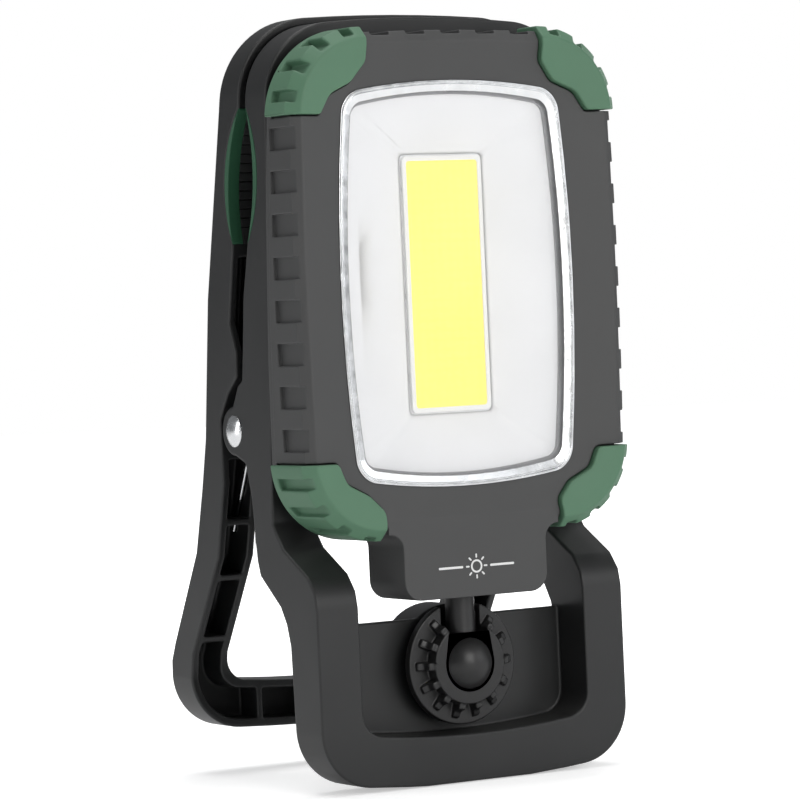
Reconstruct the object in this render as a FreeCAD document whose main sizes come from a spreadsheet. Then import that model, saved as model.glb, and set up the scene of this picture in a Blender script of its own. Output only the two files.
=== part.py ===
import FreeCAD, Part
import math
import os

# Rechargeable work light: a lamp head on a ball neck, held in a two-frame spring clamp that is also its stand.
# Frame of the part: +Z up, the lamp shines towards -Y, +X to the right of someone facing the window.
# Lengths are millimetres. Heights start at the lower loop. Depths start at the lamp's face and are centred
# front to back when a piece is placed.

doc = FreeCAD.newDocument("WorkLight")
sheet = doc.addObject("Spreadsheet::Sheet", "Sizes")


class Size:
    """A length that carries both its number and the sheet expression it comes from."""

    def __init__(self, text, number):
        self.text = text
        self.number = float(number)

    def __float__(self):
        return self.number

    def __add__(self, other):
        return Size("(%s + %s)" % (self.text, words(other)), self.number + float(other))

    def __radd__(self, other):
        return Size("(%s + %s)" % (words(other), self.text), float(other) + self.number)

    def __sub__(self, other):
        return Size("(%s - %s)" % (self.text, words(other)), self.number - float(other))

    def __rsub__(self, other):
        return Size("(%s - %s)" % (words(other), self.text), float(other) - self.number)

    def __mul__(self, other):
        return Size("(%s * %s)" % (self.text, words(other)), self.number * float(other))

    def __rmul__(self, other):
        return Size("(%s * %s)" % (words(other), self.text), float(other) * self.number)

    def __truediv__(self, other):
        return Size("(%s / %s)" % (self.text, words(other)), self.number / float(other))

    def __neg__(self):
        return Size("(0 - %s)" % self.text, -self.number)


def words(value):
    """The expression text of a Size or of a plain number."""
    if isinstance(value, Size):
        return value.text
    return "%.9g" % value


row_count = [0]


def size(name, number, note):
    """Write one driving dimension into the sheet and return it."""
    row_count[0] += 1
    cell = "B%d" % row_count[0]
    sheet.set("A%d" % row_count[0], note)
    sheet.set(cell, "%.6g" % number)
    sheet.setAlias(cell, name)
    return Size("Sizes.%s" % name, number)


# ---- driving dimensions -------------------------------------------------------------------------------

# clamp frames
frame_half = size("frame_half", 43.0, "half width of both frames")
leg_face = size("leg_face", 11.3, "width of a lower loop leg, seen from the front")
arch_leg = size("arch_leg", 10.0, "width of the upper frame legs, seen from the front")
loop_floor = size("loop_floor", 11.4, "height of the lower loop's bottom bar")
loop_depth = size("loop_depth", 13.6, "front to back depth of the lower loop")
front_top = size("front_top", 184.0, "top of the front frame")
rear_top = size("rear_top", 185.6, "top of the rear frame")
arch_bar = size("arch_bar", 10.5, "height of the arch bar at the top of both frames")
arch_radius = size("arch_radius", 18.0, "outer radius of the arch corners")
loop_radius = size("loop_radius", 14.0, "outer radius of the lower loop corners")
bend_low = size("bend_low", 44.0, "height where the front legs start to step back")
bend_high = size("bend_high", 64.0, "height where the step back ends")
upper_set = size("upper_set", 19.7, "setback of the upper front frame behind the face, at the step")
upper_lean = size("upper_lean", 0.06, "forward lean of the upper frame, rise over run")
upper_depth = size("upper_depth", 10.2, "front to back depth of the upper front frame")
foot_flat = size("foot_flat", 0.35, "how much of the lower loop's bow is cut off to leave a flat foot")
frame_wall = size("frame_wall", 2.0, "wall of the hollow frame channels")
panel_set = size("panel_set", 11.8, "setback of the knob panel behind the face")
panel_wall = size("panel_wall", 2.2, "thickness of the knob panel")
panel_top = size("panel_top", 39.0, "top edge of the knob panel")
boss_back = size("boss_back", 22.3, "back end of the boss behind the face")
rear_foot = size("rear_foot", 10.2, "underside of the rear frame's bottom bar")
rear_bar = size("rear_bar", 11.4, "height of the rear frame's bottom bar")
rear_jaw_set = size("rear_jaw_set", 27.2, "rear frame's front edge behind the face, at the jaw's upper end")
rear_jaw_slope = size("rear_jaw_slope", 6.0, "how far the rear frame's front edge slopes back down the jaw")
rear_depth = size("rear_depth", 75.1, "back of the rear frame's foot behind the face")
rib_wall = size("rib_wall", 1.6, "thickness of the cross ribs in the channels")

# clamp hinge
hinge_set = size("hinge_set", 36.6, "hinge axis behind the face")
hinge_height = size("hinge_height", 86.0, "hinge axis above the base")
ear_radius = size("ear_radius", 6.0, "radius of the hinge ears")
ear_wall = size("ear_wall", 3.4, "thickness of each ear")
ear_gap = size("ear_gap", 0.4, "gap beside and around an ear")
pin_radius = size("pin_radius", 2.2, "radius of the rivet shank")
pin_play = size("pin_play", 0.06, "running clearance of the shank in the moving ear")
rivet_head = size("rivet_head", 4.0, "radius of the domed rivet head")
rivet_dome = size("rivet_dome", 1.3, "height of the rivet dome")
spring_wire = size("spring_wire", 1.3, "spring wire diameter")
spring_radius = size("spring_radius", 3.7, "mean radius of the spring coil")

# jaws
jaw_low = size("jaw_low", 131.0, "lower end of the jaw opening")
jaw_high = size("jaw_high", 163.5, "upper end of the jaw opening")
jaw_front_sag = size("jaw_front_sag", 3.3, "depth of the front jaw's hollow")
jaw_rear_sag = size("jaw_rear_sag", 3.6, "depth of the rear jaw's hollow")
pad_wall = size("pad_wall", 1.9, "thickness of the jaw pads")
pad_width = size("pad_width", 3.2, "width of the outer jaw pads")
tooth_pitch = size("tooth_pitch", 2.2, "pitch of the grip teeth")
tooth_depth = size("tooth_depth", 0.6, "depth of the grip teeth")

# lamp head
head_half = size("head_half", 44.0, "half width of the head at its corners")
head_bulge = size("head_bulge", 1.5, "outward bulge of the head's long sides")
head_top = size("head_top", 178.3, "head top at its corners")
top_bulge = size("top_bulge", 1.5, "upward bulge of the head's top side")
head_base = size("head_base", 60.5, "bottom edge of the head")
head_radius = size("head_radius", 19.5, "corner radius of the head")
head_gap = size("head_gap", 2.5, "gap between the head's back and the front frame")
case_wall = size("case_wall", 1.8, "wall of the head casing")
cover_wall = size("cover_wall", 2.4, "thickness of the back cover")
bevel_side = size("bevel_side", 2.2, "bevel of the head's front edge, across")
bevel_deep = size("bevel_deep", 1.6, "bevel of the head's front edge, deep")
face_lead = size("face_lead", 2.4, "how far the face's outer edge stands ahead of the window's edge")
face_lip = size("face_lip", 0.8, "flat at the outer edge of the dished face")
notch_pitch = size("notch_pitch", 10.13, "pitch of the side notches")
notch_height = size("notch_height", 5.3, "height of a side notch")
notch_deep = size("notch_deep", 1.1, "depth of the side notches")
notch_reach = size("notch_reach", 9.0, "how far back the side notches reach")
top_pitch = size("top_pitch", 9.8, "pitch of the notches along the top")
chin_half = size("chin_half", 20.0, "half width of the chin")
chin_base = size("chin_base", 44.4, "underside of the chin")
chin_deep = size("chin_deep", 14.4, "depth of the chin")
chin_round = size("chin_round", 4.6, "radius of the corners at the foot of the chin")
chin_root = size("chin_root", 3.6, "inside radius where the chin meets the head")

# corner bumpers
bumper_proud = size("bumper_proud", 1.3, "how far the bumpers stand proud")
bumper_sunk = size("bumper_sunk", 1.2, "how far the bumpers are let into the casing")
bumper_notch = size("bumper_notch", 0.9, "depth of the bumper pockets")
pocket_rim = size("pocket_rim", 2.4, "rim left behind the bumper pockets")
pocket_half = size("pocket_half", 1.45, "half width of the bumper pockets")
bumper_groove = size("bumper_groove", 0.4, "groove round each bumper")

# window, lens and reflector
window_half = size("window_half", 30.0, "half width of the window at its corners")
window_bulge = size("window_bulge", 2.6, "bulge of the window's long sides")
window_tall = size("window_tall", 45.75, "half height of the window at its corners")
window_arch = size("window_arch", 2.8, "bulge of the window's short sides")
window_radius = size("window_radius", 6.5, "corner radius of the window")
window_mid = size("window_mid", 119.4, "height of the window's centre")
rim_lip = size("rim_lip", 2.7, "width of the window rim's lip")
rim_wall = size("rim_wall", 1.4, "wall of the rim's skirt")
lip_flat = size("lip_flat", 0.6, "width of the flat at the lip's outer edge")
lip_groove = size("lip_groove", 0.35, "width of the fine groove inside that flat")
rim_proud = size("rim_proud", 0.2, "how far the rim stands proud of the face")
lens_set = size("lens_set", 0.5, "lens face behind the lamp's face")
lens_wall = size("lens_wall", 1.2, "lens thickness")
gasket_wall = size("gasket_wall", 0.6, "lens gasket thickness")
fit_gap = size("fit_gap", 0.1, "clearance between parts that slip together")
led_half = size("led_half", 10.0, "half width of the light area")
led_tall = size("led_tall", 29.6, "half height of the light area")
dam_wall = size("dam_wall", 1.1, "width of the white border round the light area")
led_set = size("led_set", 6.1, "face of the light board behind the lamp's face")
dam_height = size("dam_height", 0.7, "height of the white border")
board_wall = size("board_wall", 1.5, "thickness of the light board")
spreader_wall = size("spreader_wall", 1.4, "thickness of the heat spreader")
reflector_wall = size("reflector_wall", 0.9, "wall of the reflector")

# battery bay on the back
bay_half = size("bay_half", 25.0, "half width of the battery bay")
bay_low = size("bay_low", 78.0, "underside of the battery bay")
bay_high = size("bay_high", 151.0, "top of the battery bay")
bay_back = size("bay_back", 24.0, "back of the battery bay behind the face")
bay_wall = size("bay_wall", 1.6, "wall of the battery bay")
cell_wide = size("cell_wide", 38.0, "battery width")
cell_tall = size("cell_tall", 46.0, "battery height")
cell_thick = size("cell_thick", 6.3, "battery thickness")
foam_wall = size("foam_wall", 0.8, "foam pad under the battery")
driver_wall = size("driver_wall", 1.2, "driver board thickness")
driver_half = size("driver_half", 20.0, "half width of the driver board")
button_radius = size("button_radius", 5.5, "power button radius")
button_height = size("button_height", 142.0, "height of the power button")
button_proud = size("button_proud", 0.8, "how far the button stands out")
button_travel = size("button_travel", 0.5, "button travel")
button_gap = size("button_gap", 0.2, "clearance round the button")
port_height = size("port_height", 89.0, "height of the charging port")
flap_half = size("flap_half", 7.0, "half width of the port flap")
flap_tall = size("flap_tall", 8.0, "height of the port flap")
flap_wall = size("flap_wall", 1.2, "port flap thickness")
light_pitch = size("light_pitch", 4.5, "pitch of the charge indicators")
screw_radius = size("screw_radius", 1.25, "case screw shank radius")
screw_head = size("screw_head", 2.3, "case screw head radius")

# ball neck and knob
ball_set = size("ball_set", 6.2, "ball centre behind the face")
ball_height = size("ball_height", 28.0, "ball centre above the base")
ball_radius = size("ball_radius", 7.2, "ball radius")
ball_play = size("ball_play", 0.1, "clearance round the ball")
rod_radius = size("rod_radius", 3.55, "neck rod radius")
rod_top = size("rod_top", 59.4, "top end of the neck rod")
collar_depth = size("collar_depth", 3.8, "front of the knob's collar ahead of the ball's centre")
collar_wall = size("collar_wall", 2.5, "wall of the knob's collar round the ball")
mouth_lip = size("mouth_lip", 0.7, "how much the collar's mouth is smaller than the ball, in radius")
flange_lead = size("flange_lead", 0.2, "front of the knob's flange ahead of the ball's centre")
flange_wall = size("flange_wall", 2.2, "thickness of the knob's flange")
flange_rim = size("flange_rim", 5.1, "how far the knob's flange reaches past its collar")
fin_wall = size("fin_wall", 1.9, "thickness of the knob's fins")
fin_height = size("fin_height", 3.5, "how far the knob's fins reach past its collar")
slot_gap = size("slot_gap", 1.85, "gap on each side of the rod in the knob's slot")
stem_wall = size("stem_wall", 2.15, "wall of the knob's stem round the ball")
stem_play = size("stem_play", 0.06, "running clearance of the stem")
stem_back = size("stem_back", 25.0, "back end of the knob's stem behind the face")
boss_wall = size("boss_wall", 4.49, "wall of the boss round the knob's stem")
seat_lead = size("seat_lead", 3.2, "front of the ball's seat behind the ball's centre")
seat_floor = size("seat_floor", 1.6, "floor of the ball's seat behind the ball")
coil_length = size("coil_length", 2.2, "length of the spring behind the seat")
ring_depth = size("ring_depth", 0.9, "depth of the retaining ring's groove in the stem")
ring_wall = size("ring_wall", 1.1, "thickness of the retaining rings")
washer_wall = size("washer_wall", 0.65, "thickness of the knob's washer")
bush_wall = size("bush_wall", 1.59, "wall of the swivel bush")
bush_play = size("bush_play", 0.06, "running clearance of the neck in its bush")
clip_reach = size("clip_reach", 0.75, "how far the neck's clip stands out from the rod")
clip_depth = size("clip_depth", 0.6, "depth of the clip's groove in the rod")
clip_drop = size("clip_drop", 2.2, "clip's groove below the top of the rod")

# the knob and its socket follow the ball, and the bush and clip follow the rod
collar_set = ball_set - collar_depth
collar_radius = ball_radius + ball_play + collar_wall
collar_mouth = ball_radius - mouth_lip
flange_set = ball_set - flange_lead
flange_radius = collar_radius + flange_rim
fin_reach = collar_radius + fin_height
slot_half = rod_radius + slot_gap
stem_radius = ball_radius + ball_play + stem_wall
boss_radius = stem_radius + stem_play + boss_wall
bush_radius = rod_radius + bush_play + bush_wall
clip_radius = rod_radius + clip_reach

# every depth is measured from the lamp's face; the finished part is centred front to back
centre = (rear_depth - bumper_proud - face_lead) / 2.0

doc.recompute()

V = FreeCAD.Vector
made = []


# ---- making sub-parts ---------------------------------------------------------------------------------

def place(thing, across=0.0, deep=0.0, up=0.0):
    """Give a sub-part its place: across, behind the lamp's face, and above the base."""
    deep = deep - centre
    thing.Placement = FreeCAD.Placement(V(float(across), float(deep), float(up)), FreeCAD.Rotation())
    for axis, value in (("x", across), ("y", deep), ("z", up)):
        if isinstance(value, Size):
            thing.setExpression("Placement.Base.%s" % axis, value.text)
    made.append(thing)
    return thing


def solid_part(label, shape):
    """A sub-part whose faces are worked out here from the sheet, already in its place."""
    thing = doc.addObject("Part::Feature", label)
    thing.Label = label
    thing.Shape = shape
    return place(thing)


def origin_plane(body, role):
    """One of a body's own origin planes."""
    for item in body.Origin.OriginFeatures:
        if item.Role == role:
            return item
    return None


def new_body(label, role):
    """An empty body with one sketch on the named origin plane."""
    body = doc.addObject("PartDesign::Body", label)
    body.Label = label
    sketch = body.newObject("Sketcher::SketchObject", label + "_sketch")
    sketch.AttachmentSupport = [(origin_plane(body, role), "")]
    sketch.MapMode = "FlatFace"
    return body, sketch


def bind_constraint(sketch, kind, arguments, value):
    """A named dimension in a sketch, tied to the sheet."""
    import Sketcher
    index = sketch.addConstraint(Sketcher.Constraint(kind, *(arguments + (float(value),))))
    name = "dim%d" % index
    sketch.renameConstraint(index, name)
    if isinstance(value, Size):
        sketch.setExpression("Constraints.%s" % name, value.text)


def draw_rectangle(sketch, wide, tall):
    """A rectangle centred on the sketch's origin."""
    import Sketcher
    a = float(wide) / 2.0
    b = float(tall) / 2.0
    corners = [V(-a, -b, 0), V(a, -b, 0), V(a, b, 0), V(-a, b, 0)]
    first = sketch.GeometryCount
    for i in range(4):
        sketch.addGeometry(Part.LineSegment(corners[i], corners[(i + 1) % 4]), False)
    for i in range(4):
        sketch.addConstraint(Sketcher.Constraint("Coincident", first + i, 2, first + (i + 1) % 4, 1))
    for i in (0, 2):
        sketch.addConstraint(Sketcher.Constraint("Horizontal", first + i))
    for i in (1, 3):
        sketch.addConstraint(Sketcher.Constraint("Vertical", first + i))
    sketch.addConstraint(Sketcher.Constraint("Symmetric", first, 1, first + 1, 2, -1, 1))
    bind_constraint(sketch, "DistanceX", (first, 1, first, 2), wide)
    bind_constraint(sketch, "DistanceY", (first + 1, 1, first + 1, 2), tall)


def draw_profile(sketch, points):
    """A closed outline of straight lines through points given as (first, second) sizes."""
    import Sketcher
    first = sketch.GeometryCount
    count = len(points)
    for i in range(count):
        p = points[i]
        q = points[(i + 1) % count]
        a = V(float(p[0]), float(p[1]), 0)
        b = V(float(q[0]), float(q[1]), 0)
        sketch.addGeometry(Part.LineSegment(a, b), False)
    for i in range(count):
        sketch.addConstraint(Sketcher.Constraint("Coincident", first + i, 2, first + (i + 1) % count, 1))
    for i, p in enumerate(points):
        for kind, value in (("DistanceX", p[0]), ("DistanceY", p[1])):
            if float(value) == 0.0 and not isinstance(value, Size):
                if kind == "DistanceX":
                    sketch.addConstraint(Sketcher.Constraint("PointOnObject", first + i, 1, -2))
                else:
                    sketch.addConstraint(Sketcher.Constraint("PointOnObject", first + i, 1, -1))
            else:
                bind_constraint(sketch, kind, (-1, 1, first + i, 1), value)


def pad(body, sketch, length, backwards):
    """Pad a sketch; backwards pads against the plane's own direction."""
    feature = body.newObject("PartDesign::Pad", body.Label + "_pad")
    feature.Profile = sketch
    feature.Length = float(length)
    feature.Reversed = backwards
    if isinstance(length, Size):
        feature.setExpression("Length", length.text)
    sketch.Visibility = False
    doc.recompute()
    return feature


def round_corners(body, base, radius, along):
    """Round the edges of a padded rectangle that run along one axis."""
    names = []
    for i, edge in enumerate(base.Shape.Edges):
        if len(edge.Vertexes) != 2:
            continue
        run = edge.Vertexes[1].Point - edge.Vertexes[0].Point
        if run.Length > 1e-6 and abs(abs(run.normalize().dot(along)) - 1.0) < 1e-6:
            names.append("Edge%d" % (i + 1))
    feature = body.newObject("PartDesign::Fillet", body.Label + "_round")
    feature.Base = (base, names)
    feature.Radius = float(radius)
    if isinstance(radius, Size):
        feature.setExpression("Radius", radius.text)
    body.Tip = feature
    doc.recompute()


def plate(label, wide, tall, thick, across, deep, up, corner=0.0):
    """A flat plate facing the front, centred across and up, its front face at the given depth."""
    body, sketch = new_body(label, "XZ_Plane")
    draw_rectangle(sketch, wide, tall)
    base = pad(body, sketch, thick, True)
    if float(corner) > 0:
        round_corners(body, base, corner, V(0, 1, 0))
    return place(body, across, deep, up)


def turned_deep(label, points, across, deep, up):
    """A piece turned about its front-to-back axis; points are (radius, depth)."""
    body, sketch = new_body(label, "XY_Plane")
    draw_profile(sketch, points)
    feature = body.newObject("PartDesign::Revolution", label + "_turn")
    feature.Profile = sketch
    feature.ReferenceAxis = (sketch, ["V_Axis"])
    feature.Angle = 360.0
    sketch.Visibility = False
    doc.recompute()
    return place(body, across, deep, up)


def turned_up(label, points, across, deep, up):
    """A piece turned about its upright axis; points are (radius, height)."""
    body, sketch = new_body(label, "XZ_Plane")
    draw_profile(sketch, points)
    feature = body.newObject("PartDesign::Revolution", label + "_turn")
    feature.Profile = sketch
    feature.ReferenceAxis = (sketch, ["V_Axis"])
    feature.Angle = 360.0
    sketch.Visibility = False
    doc.recompute()
    return place(body, across, deep, up)


# ---- shapes used by the moulded pieces ----------------------------------------------------------------

def outline_block(corners, bulges, radii, near, far):
    """A block cut from a flat outline in the front view, from depth near to depth far.

    corners are (across, up); bulges bow the side after each corner outwards; radii round the corners."""
    count = len(corners)
    mid = V(sum(c[0] for c in corners) / count, near, sum(c[1] for c in corners) / count)
    edges = []
    for i in range(count):
        a = V(corners[i][0], near, corners[i][1])
        b = V(corners[(i + 1) % count][0], near, corners[(i + 1) % count][1])
        if abs(bulges[i]) > 1e-6:
            half = (a + b) * 0.5
            out = V(b.z - a.z, 0, a.x - b.x).normalize()
            if out.dot(half - mid) < 0:
                out = out * -1.0
            edges.append(Part.Arc(a, half + out * bulges[i], b).toShape())
        else:
            edges.append(Part.LineSegment(a, b).toShape())
    block = Part.Face(Part.Wire(edges)).extrude(V(0, far - near, 0))
    for radius in sorted(set(radii)):
        if radius <= 1e-6:
            continue
        chosen = []
        for edge in block.Edges:
            if len(edge.Vertexes) != 2:
                continue
            p = edge.Vertexes[0].Point
            q = edge.Vertexes[1].Point
            if abs(p.x - q.x) > 1e-6 or abs(p.z - q.z) > 1e-6:
                continue
            for i in range(count):
                if radii[i] == radius and math.hypot(p.x - corners[i][0], p.z - corners[i][1]) < 1e-5:
                    chosen.append(edge)
                    break
        block = block.makeFillet(radius, chosen)
    return block


def side_band(points, left, right):
    """A block cut from a side-view outline given as (depth, up), from one side to the other."""
    loop = [V(left, p[0], p[1]) for p in points]
    loop.append(loop[0])
    return Part.Face(Part.makePolygon(loop)).extrude(V(right - left, 0, 0))


def box(x0, x1, y0, y1, z0, z1):
    """A plain block between two corners."""
    return Part.makeBox(x1 - x0, y1 - y0, z1 - z0, V(x0, y0, z0))


def rod_deep(radius, y0, y1, x, z):
    """A cylinder that runs front to back."""
    return Part.makeCylinder(radius, y1 - y0, V(x, y0, z), V(0, 1, 0))


def rod_across(radius, x0, x1, y, z):
    """A cylinder that runs left to right."""
    return Part.makeCylinder(radius, x1 - x0, V(x0, y, z), V(1, 0, 0))


def head_block(inset, near, far):
    """The head's rounded and slightly bulged outline, drawn in by inset."""
    w = float(head_half) - inset
    top = float(head_top) - inset
    low = float(head_base) + inset
    r = max(float(head_radius) - inset, 1.0)
    corners = [(-w, low), (w, low), (w, top), (-w, top)]
    bulges = [0, float(head_bulge), float(top_bulge), float(head_bulge)]
    return outline_block(corners, bulges, [r] * 4, near, far)


def window_block(inset, near, far):
    """The window's bulged outline, drawn in by inset."""
    w = float(window_half) - inset
    tall = float(window_tall) - inset
    mid = float(window_mid)
    r = max(float(window_radius) - inset, 0.8)
    side = float(window_bulge)
    arch = float(window_arch)
    corners = [(-w, mid - tall), (w, mid - tall), (w, mid + tall), (-w, mid + tall)]
    return outline_block(corners, [arch, side, arch, side], [r] * 4, near, far)


def wire_at(block, depth):
    """The outer wire of a block's flat face at a given depth."""
    for face in block.Faces:
        box_of = face.BoundBox
        if abs(box_of.YMin - depth) < 1e-5 and abs(box_of.YMax - depth) < 1e-5:
            return face.OuterWire
    return None


def upper_front(height):
    """Depth of the upper front frame's front edge at a height."""
    return float(upper_set) - float(upper_lean) * (height - float(bend_high))


def head_back(height):
    """Depth of the head's back at a height; it follows the frame behind it."""
    return upper_front(height) - float(head_gap)


def behind(offset):
    """Everything behind the head's back plane moved back by offset."""
    lo = 30.0
    hi = float(rear_top) + 60.0
    points = [(head_back(lo) + offset, lo), (300.0, lo), (300.0, hi), (head_back(hi) + offset, hi)]
    return side_band(points, -150.0, 150.0)


# ---- hinge layout: front ear outside, spring coil in the middle, rear ear inside -------------------------

spring_pitch = float(spring_wire) + 0.15
spring_run = 2.0 * 360.0 + 156.0
spring_room = spring_pitch * spring_run / 360.0 + float(spring_wire) + 0.5
fh = float(frame_half)
hy = float(hinge_set)
hz = float(hinge_height)
ear_in = fh - float(ear_wall)
rear_ear_out = ear_in - spring_room
rear_ear_in = rear_ear_out - float(ear_wall)
rear_leg_angle = 27.3
front_leg_angle = rear_leg_angle + spring_run - 720.0


def torsion_spring(grow, mirrored):
    """A torsion spring: a coil round the shank and two legs; grow makes the thicker legs alone."""
    thick = float(spring_wire) / 2.0
    coil = float(spring_radius)
    x0 = rear_ear_out + 0.25 + thick
    x1 = x0 + spring_pitch * spring_run / 360.0
    legs = []
    for x, angle, turn, length in ((x0, rear_leg_angle, -1.0, 30.0), (x1, front_leg_angle, 1.0, 19.0)):
        a = math.radians(angle)
        foot = V(x, hy + coil * math.cos(a), hz + coil * math.sin(a))
        heading = V(0.0, -math.sin(a) * turn, math.cos(a) * turn)
        legs.append(Part.makeCylinder(thick + grow, length, foot, heading))
        if grow == 0.0:
            legs.append(Part.makeSphere(thick + 0.08, foot))
    if grow > 0.0:
        return legs[0].fuse(legs[1])
    path = Part.makeHelix(spring_pitch, spring_pitch * spring_run / 360.0, coil)
    path.rotate(V(0, 0, 0), V(0, 1, 0), 90.0)
    path.rotate(V(0, 0, 0), V(1, 0, 0), rear_leg_angle + 90.0)
    path.translate(V(x0, hy, hz))
    start = path.Edges[0].valueAt(path.Edges[0].FirstParameter)
    heading = path.Edges[0].tangentAt(path.Edges[0].FirstParameter)
    ring = Part.Wire(Part.Circle(start, heading, thick).toShape())
    whole = Part.Wire(path.Edges).makePipeShell([ring], True, True)
    if mirrored:
        whole = whole.mirror(V(0, 0, 0), V(1, 0, 0))
        legs = [leg.mirror(V(0, 0, 0), V(1, 0, 0)) for leg in legs]
    for leg in legs:
        whole = whole.fuse(leg)
    return whole


def both_sides(shape):
    """A right-hand shape together with its mirror image on the left."""
    return shape.fuse(shape.mirror(V(0, 0, 0), V(1, 0, 0)))


spring_slots = both_sides(torsion_spring(0.25, False))


# ---- front frame --------------------------------------------------------------------------------------

def loop_outline(half, top, floor, top_radius, low_radius, bow, near, far):
    """A frame's outline in the front view: arched top, straight legs, slightly bowed foot."""
    corners = [(-half, floor + bow), (half, floor + bow), (half, top - bow), (-half, top - bow)]
    radii = [low_radius, low_radius, top_radius, top_radius]
    return outline_block(corners, [bow, 0, bow, 0], radii, near, far)


jl = float(jaw_low)
jh = float(jaw_high)
lb = float(bend_low)
hb = float(bend_high)
us = float(upper_set)
ud = float(upper_depth)
er = float(ear_radius)
ftop = float(front_top) + 5.0


def front_rear_edge(height):
    """Depth of the upper front frame's back edge at a height."""
    return upper_front(height) + ud


front_side = [
    (0.0, -5.0), (0.0, lb), (0.9, lb + 4.0), (4.2, lb + 8.0), (us - 4.7, hb - 6.0), (us - 1.3, hb - 2.0),
    (upper_front(hb), hb), (upper_front(ftop), ftop), (front_rear_edge(ftop), ftop),
    (front_rear_edge(jh), jh), (front_rear_edge(jl), jl), (hy - 7.4, hz + 32.0),
    (hy - 6.0, hz + 20.0), (hy - 4.4, hz + 9.0), (hy - 1.0, hz),
    (hy - 5.0, hz - 8.5), (front_rear_edge(70.0), 70.0),
    (us + ud - 1.8, hb - 9.0), (us + ud - 3.0, hb - 12.8), (float(loop_depth) + 4.0, lb),
    (float(loop_depth) + 1.5, lb - 4.0), (float(loop_depth), lb - 9.0), (float(loop_depth) - 1.3, -5.0)]

foot_bow = -float(foot_flat)
front_outer = loop_outline(fh, float(front_top), foot_bow, float(arch_radius), float(loop_radius), 3.0,
                           -5.0, 60.0)
front_outer = front_outer.cut(box(-fh, fh, -10.0, 80.0, -5.0, 0.0))
front_leg_in = fh - float(arch_leg)
loop_in = fh - float(leg_face)
front_solid = front_outer.common(side_band(front_side, -60.0, 60.0))

# the loops are open: one opening behind the head, one in the lower loop round the knob
upper_hole = loop_outline(front_leg_in, float(front_top) - float(arch_bar), hb - 2.0,
                          float(arch_radius) - 6.0, 1.0, 2.4, -5.0, 60.0)
lower_hole = outline_block(
    [(-loop_in, float(loop_floor) + 2.2), (loop_in, float(loop_floor) + 2.2), (loop_in, hb), (-loop_in, hb)],
    [2.2, 0, 0, 0], [6.0, 6.0, 0, 0], -5.0, 60.0)
front_solid = front_solid.cut(upper_hole.fuse(lower_hole))

# hinge ears reach back from both legs, thinner than the legs, on the outside
ear_clear = float(ear_gap)
ears = None
for side in (-1, 1):
    low = min(side * ear_in, side * fh)
    high = max(side * ear_in, side * fh)
    ear = rod_across(er, low, high, hy, hz)
    web = side_band([(hy - 8.0, hz - 9.0), (hy, hz - er), (hy + 0.5, hz + er - 0.5), (hy - 2.6, hz + 11.0),
                     (hy - 8.0, hz + 14.0)], low, high)
    piece = ear.fuse(web)
    ears = piece if ears is None else ears.fuse(piece)

# room inside the ears for the rear frame's ears and the springs
inner_room = None
for side in (-1, 1):
    low = min(side * (rear_ear_in - 3.0), side * ear_in)
    high = max(side * (rear_ear_in - 3.0), side * ear_in)
    room = rod_across(er + 1.2, low, high, hy, hz)
    inner_room = room if inner_room is None else inner_room.fuse(room)
front_solid = front_solid.cut(inner_room).fuse(ears)

# channels hollow the upper legs and the arch from behind
channel_out = loop_outline(fh - float(frame_wall), float(front_top) - float(frame_wall), hb + 12.0,
                           float(arch_radius) - float(frame_wall), 1.0, 3.0, -5.0, 60.0)
channel_in = loop_outline(front_leg_in + float(frame_wall),
                          float(front_top) - float(arch_bar) + float(frame_wall), hb - 2.0,
                          float(arch_radius) - 6.0 + float(frame_wall), 1.0, 2.4, -6.0, 61.0)
channel_band = side_band([(upper_front(jh + 4.0) + float(frame_wall), jh + 4.0),
                          (upper_front(ftop) + float(frame_wall), ftop), (60.0, ftop), (60.0, jh + 4.0)],
                         -60.0, 60.0)
front_solid = front_solid.cut(channel_out.cut(channel_in).common(channel_band))

# knob panel across the lower loop, with the boss that carries the knob
px0 = float(panel_set)
panel = box(-loop_in - 1.0, loop_in + 1.0, px0, px0 + float(panel_wall), 4.0, float(panel_top))
boss = rod_deep(float(boss_radius), px0, float(boss_back), 0.0, float(ball_height))
bore = rod_deep(float(stem_radius) + float(stem_play), -5.0, 60.0, 0.0, float(ball_height))
front_solid = front_solid.fuse(panel).fuse(boss).cut(bore)

# shank bores in the ears
pins = rod_across(float(pin_radius), -fh - 2.0, fh + 2.0, hy, hz)
front_solid = front_solid.cut(pins)


def jaw_curve(front, lift):
    """Three points (depth, up) of a jaw hollow; lift moves the curve towards the frame's own material."""
    middle = (jl + jh) / 2.0
    if front:
        a = front_rear_edge(jl)
        b = front_rear_edge(jh)
        return (a, jl), ((a + b) / 2.0 - float(jaw_front_sag) - lift, middle), (b, jh)
    a = rear_front_edge(jl)
    b = rear_front_edge(jh)
    return (a, jl), ((a + b) / 2.0 + float(jaw_rear_sag) + lift, middle), (b, jh)


def rear_front_edge(height):
    """Depth of the rear frame's front edge along the jaw."""
    return float(rear_jaw_set) + (jh - height) / (jh - jl) * float(rear_jaw_slope)


def jaw_block(front, lift, left, right):
    """The lens-shaped slice between a jaw's chord and its hollow."""
    a, m, b = jaw_curve(front, lift)
    pa = V(left, a[0], a[1])
    pm = V(left, m[0], m[1])
    pb = V(left, b[0], b[1])
    arc = Part.Arc(pa, pm, pb).toShape()
    reach = -1.0 if front else 1.0
    pa2 = V(left, a[0] - reach * 4.0, a[1])
    pb2 = V(left, b[0] - reach * 4.0, b[1])
    lines = [Part.LineSegment(pb, pb2).toShape(), Part.LineSegment(pb2, pa2).toShape(),
             Part.LineSegment(pa2, pa).toShape()]
    face = Part.Face(Part.Wire([arc] + lines))
    return face.extrude(V(right - left, 0, 0))


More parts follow.
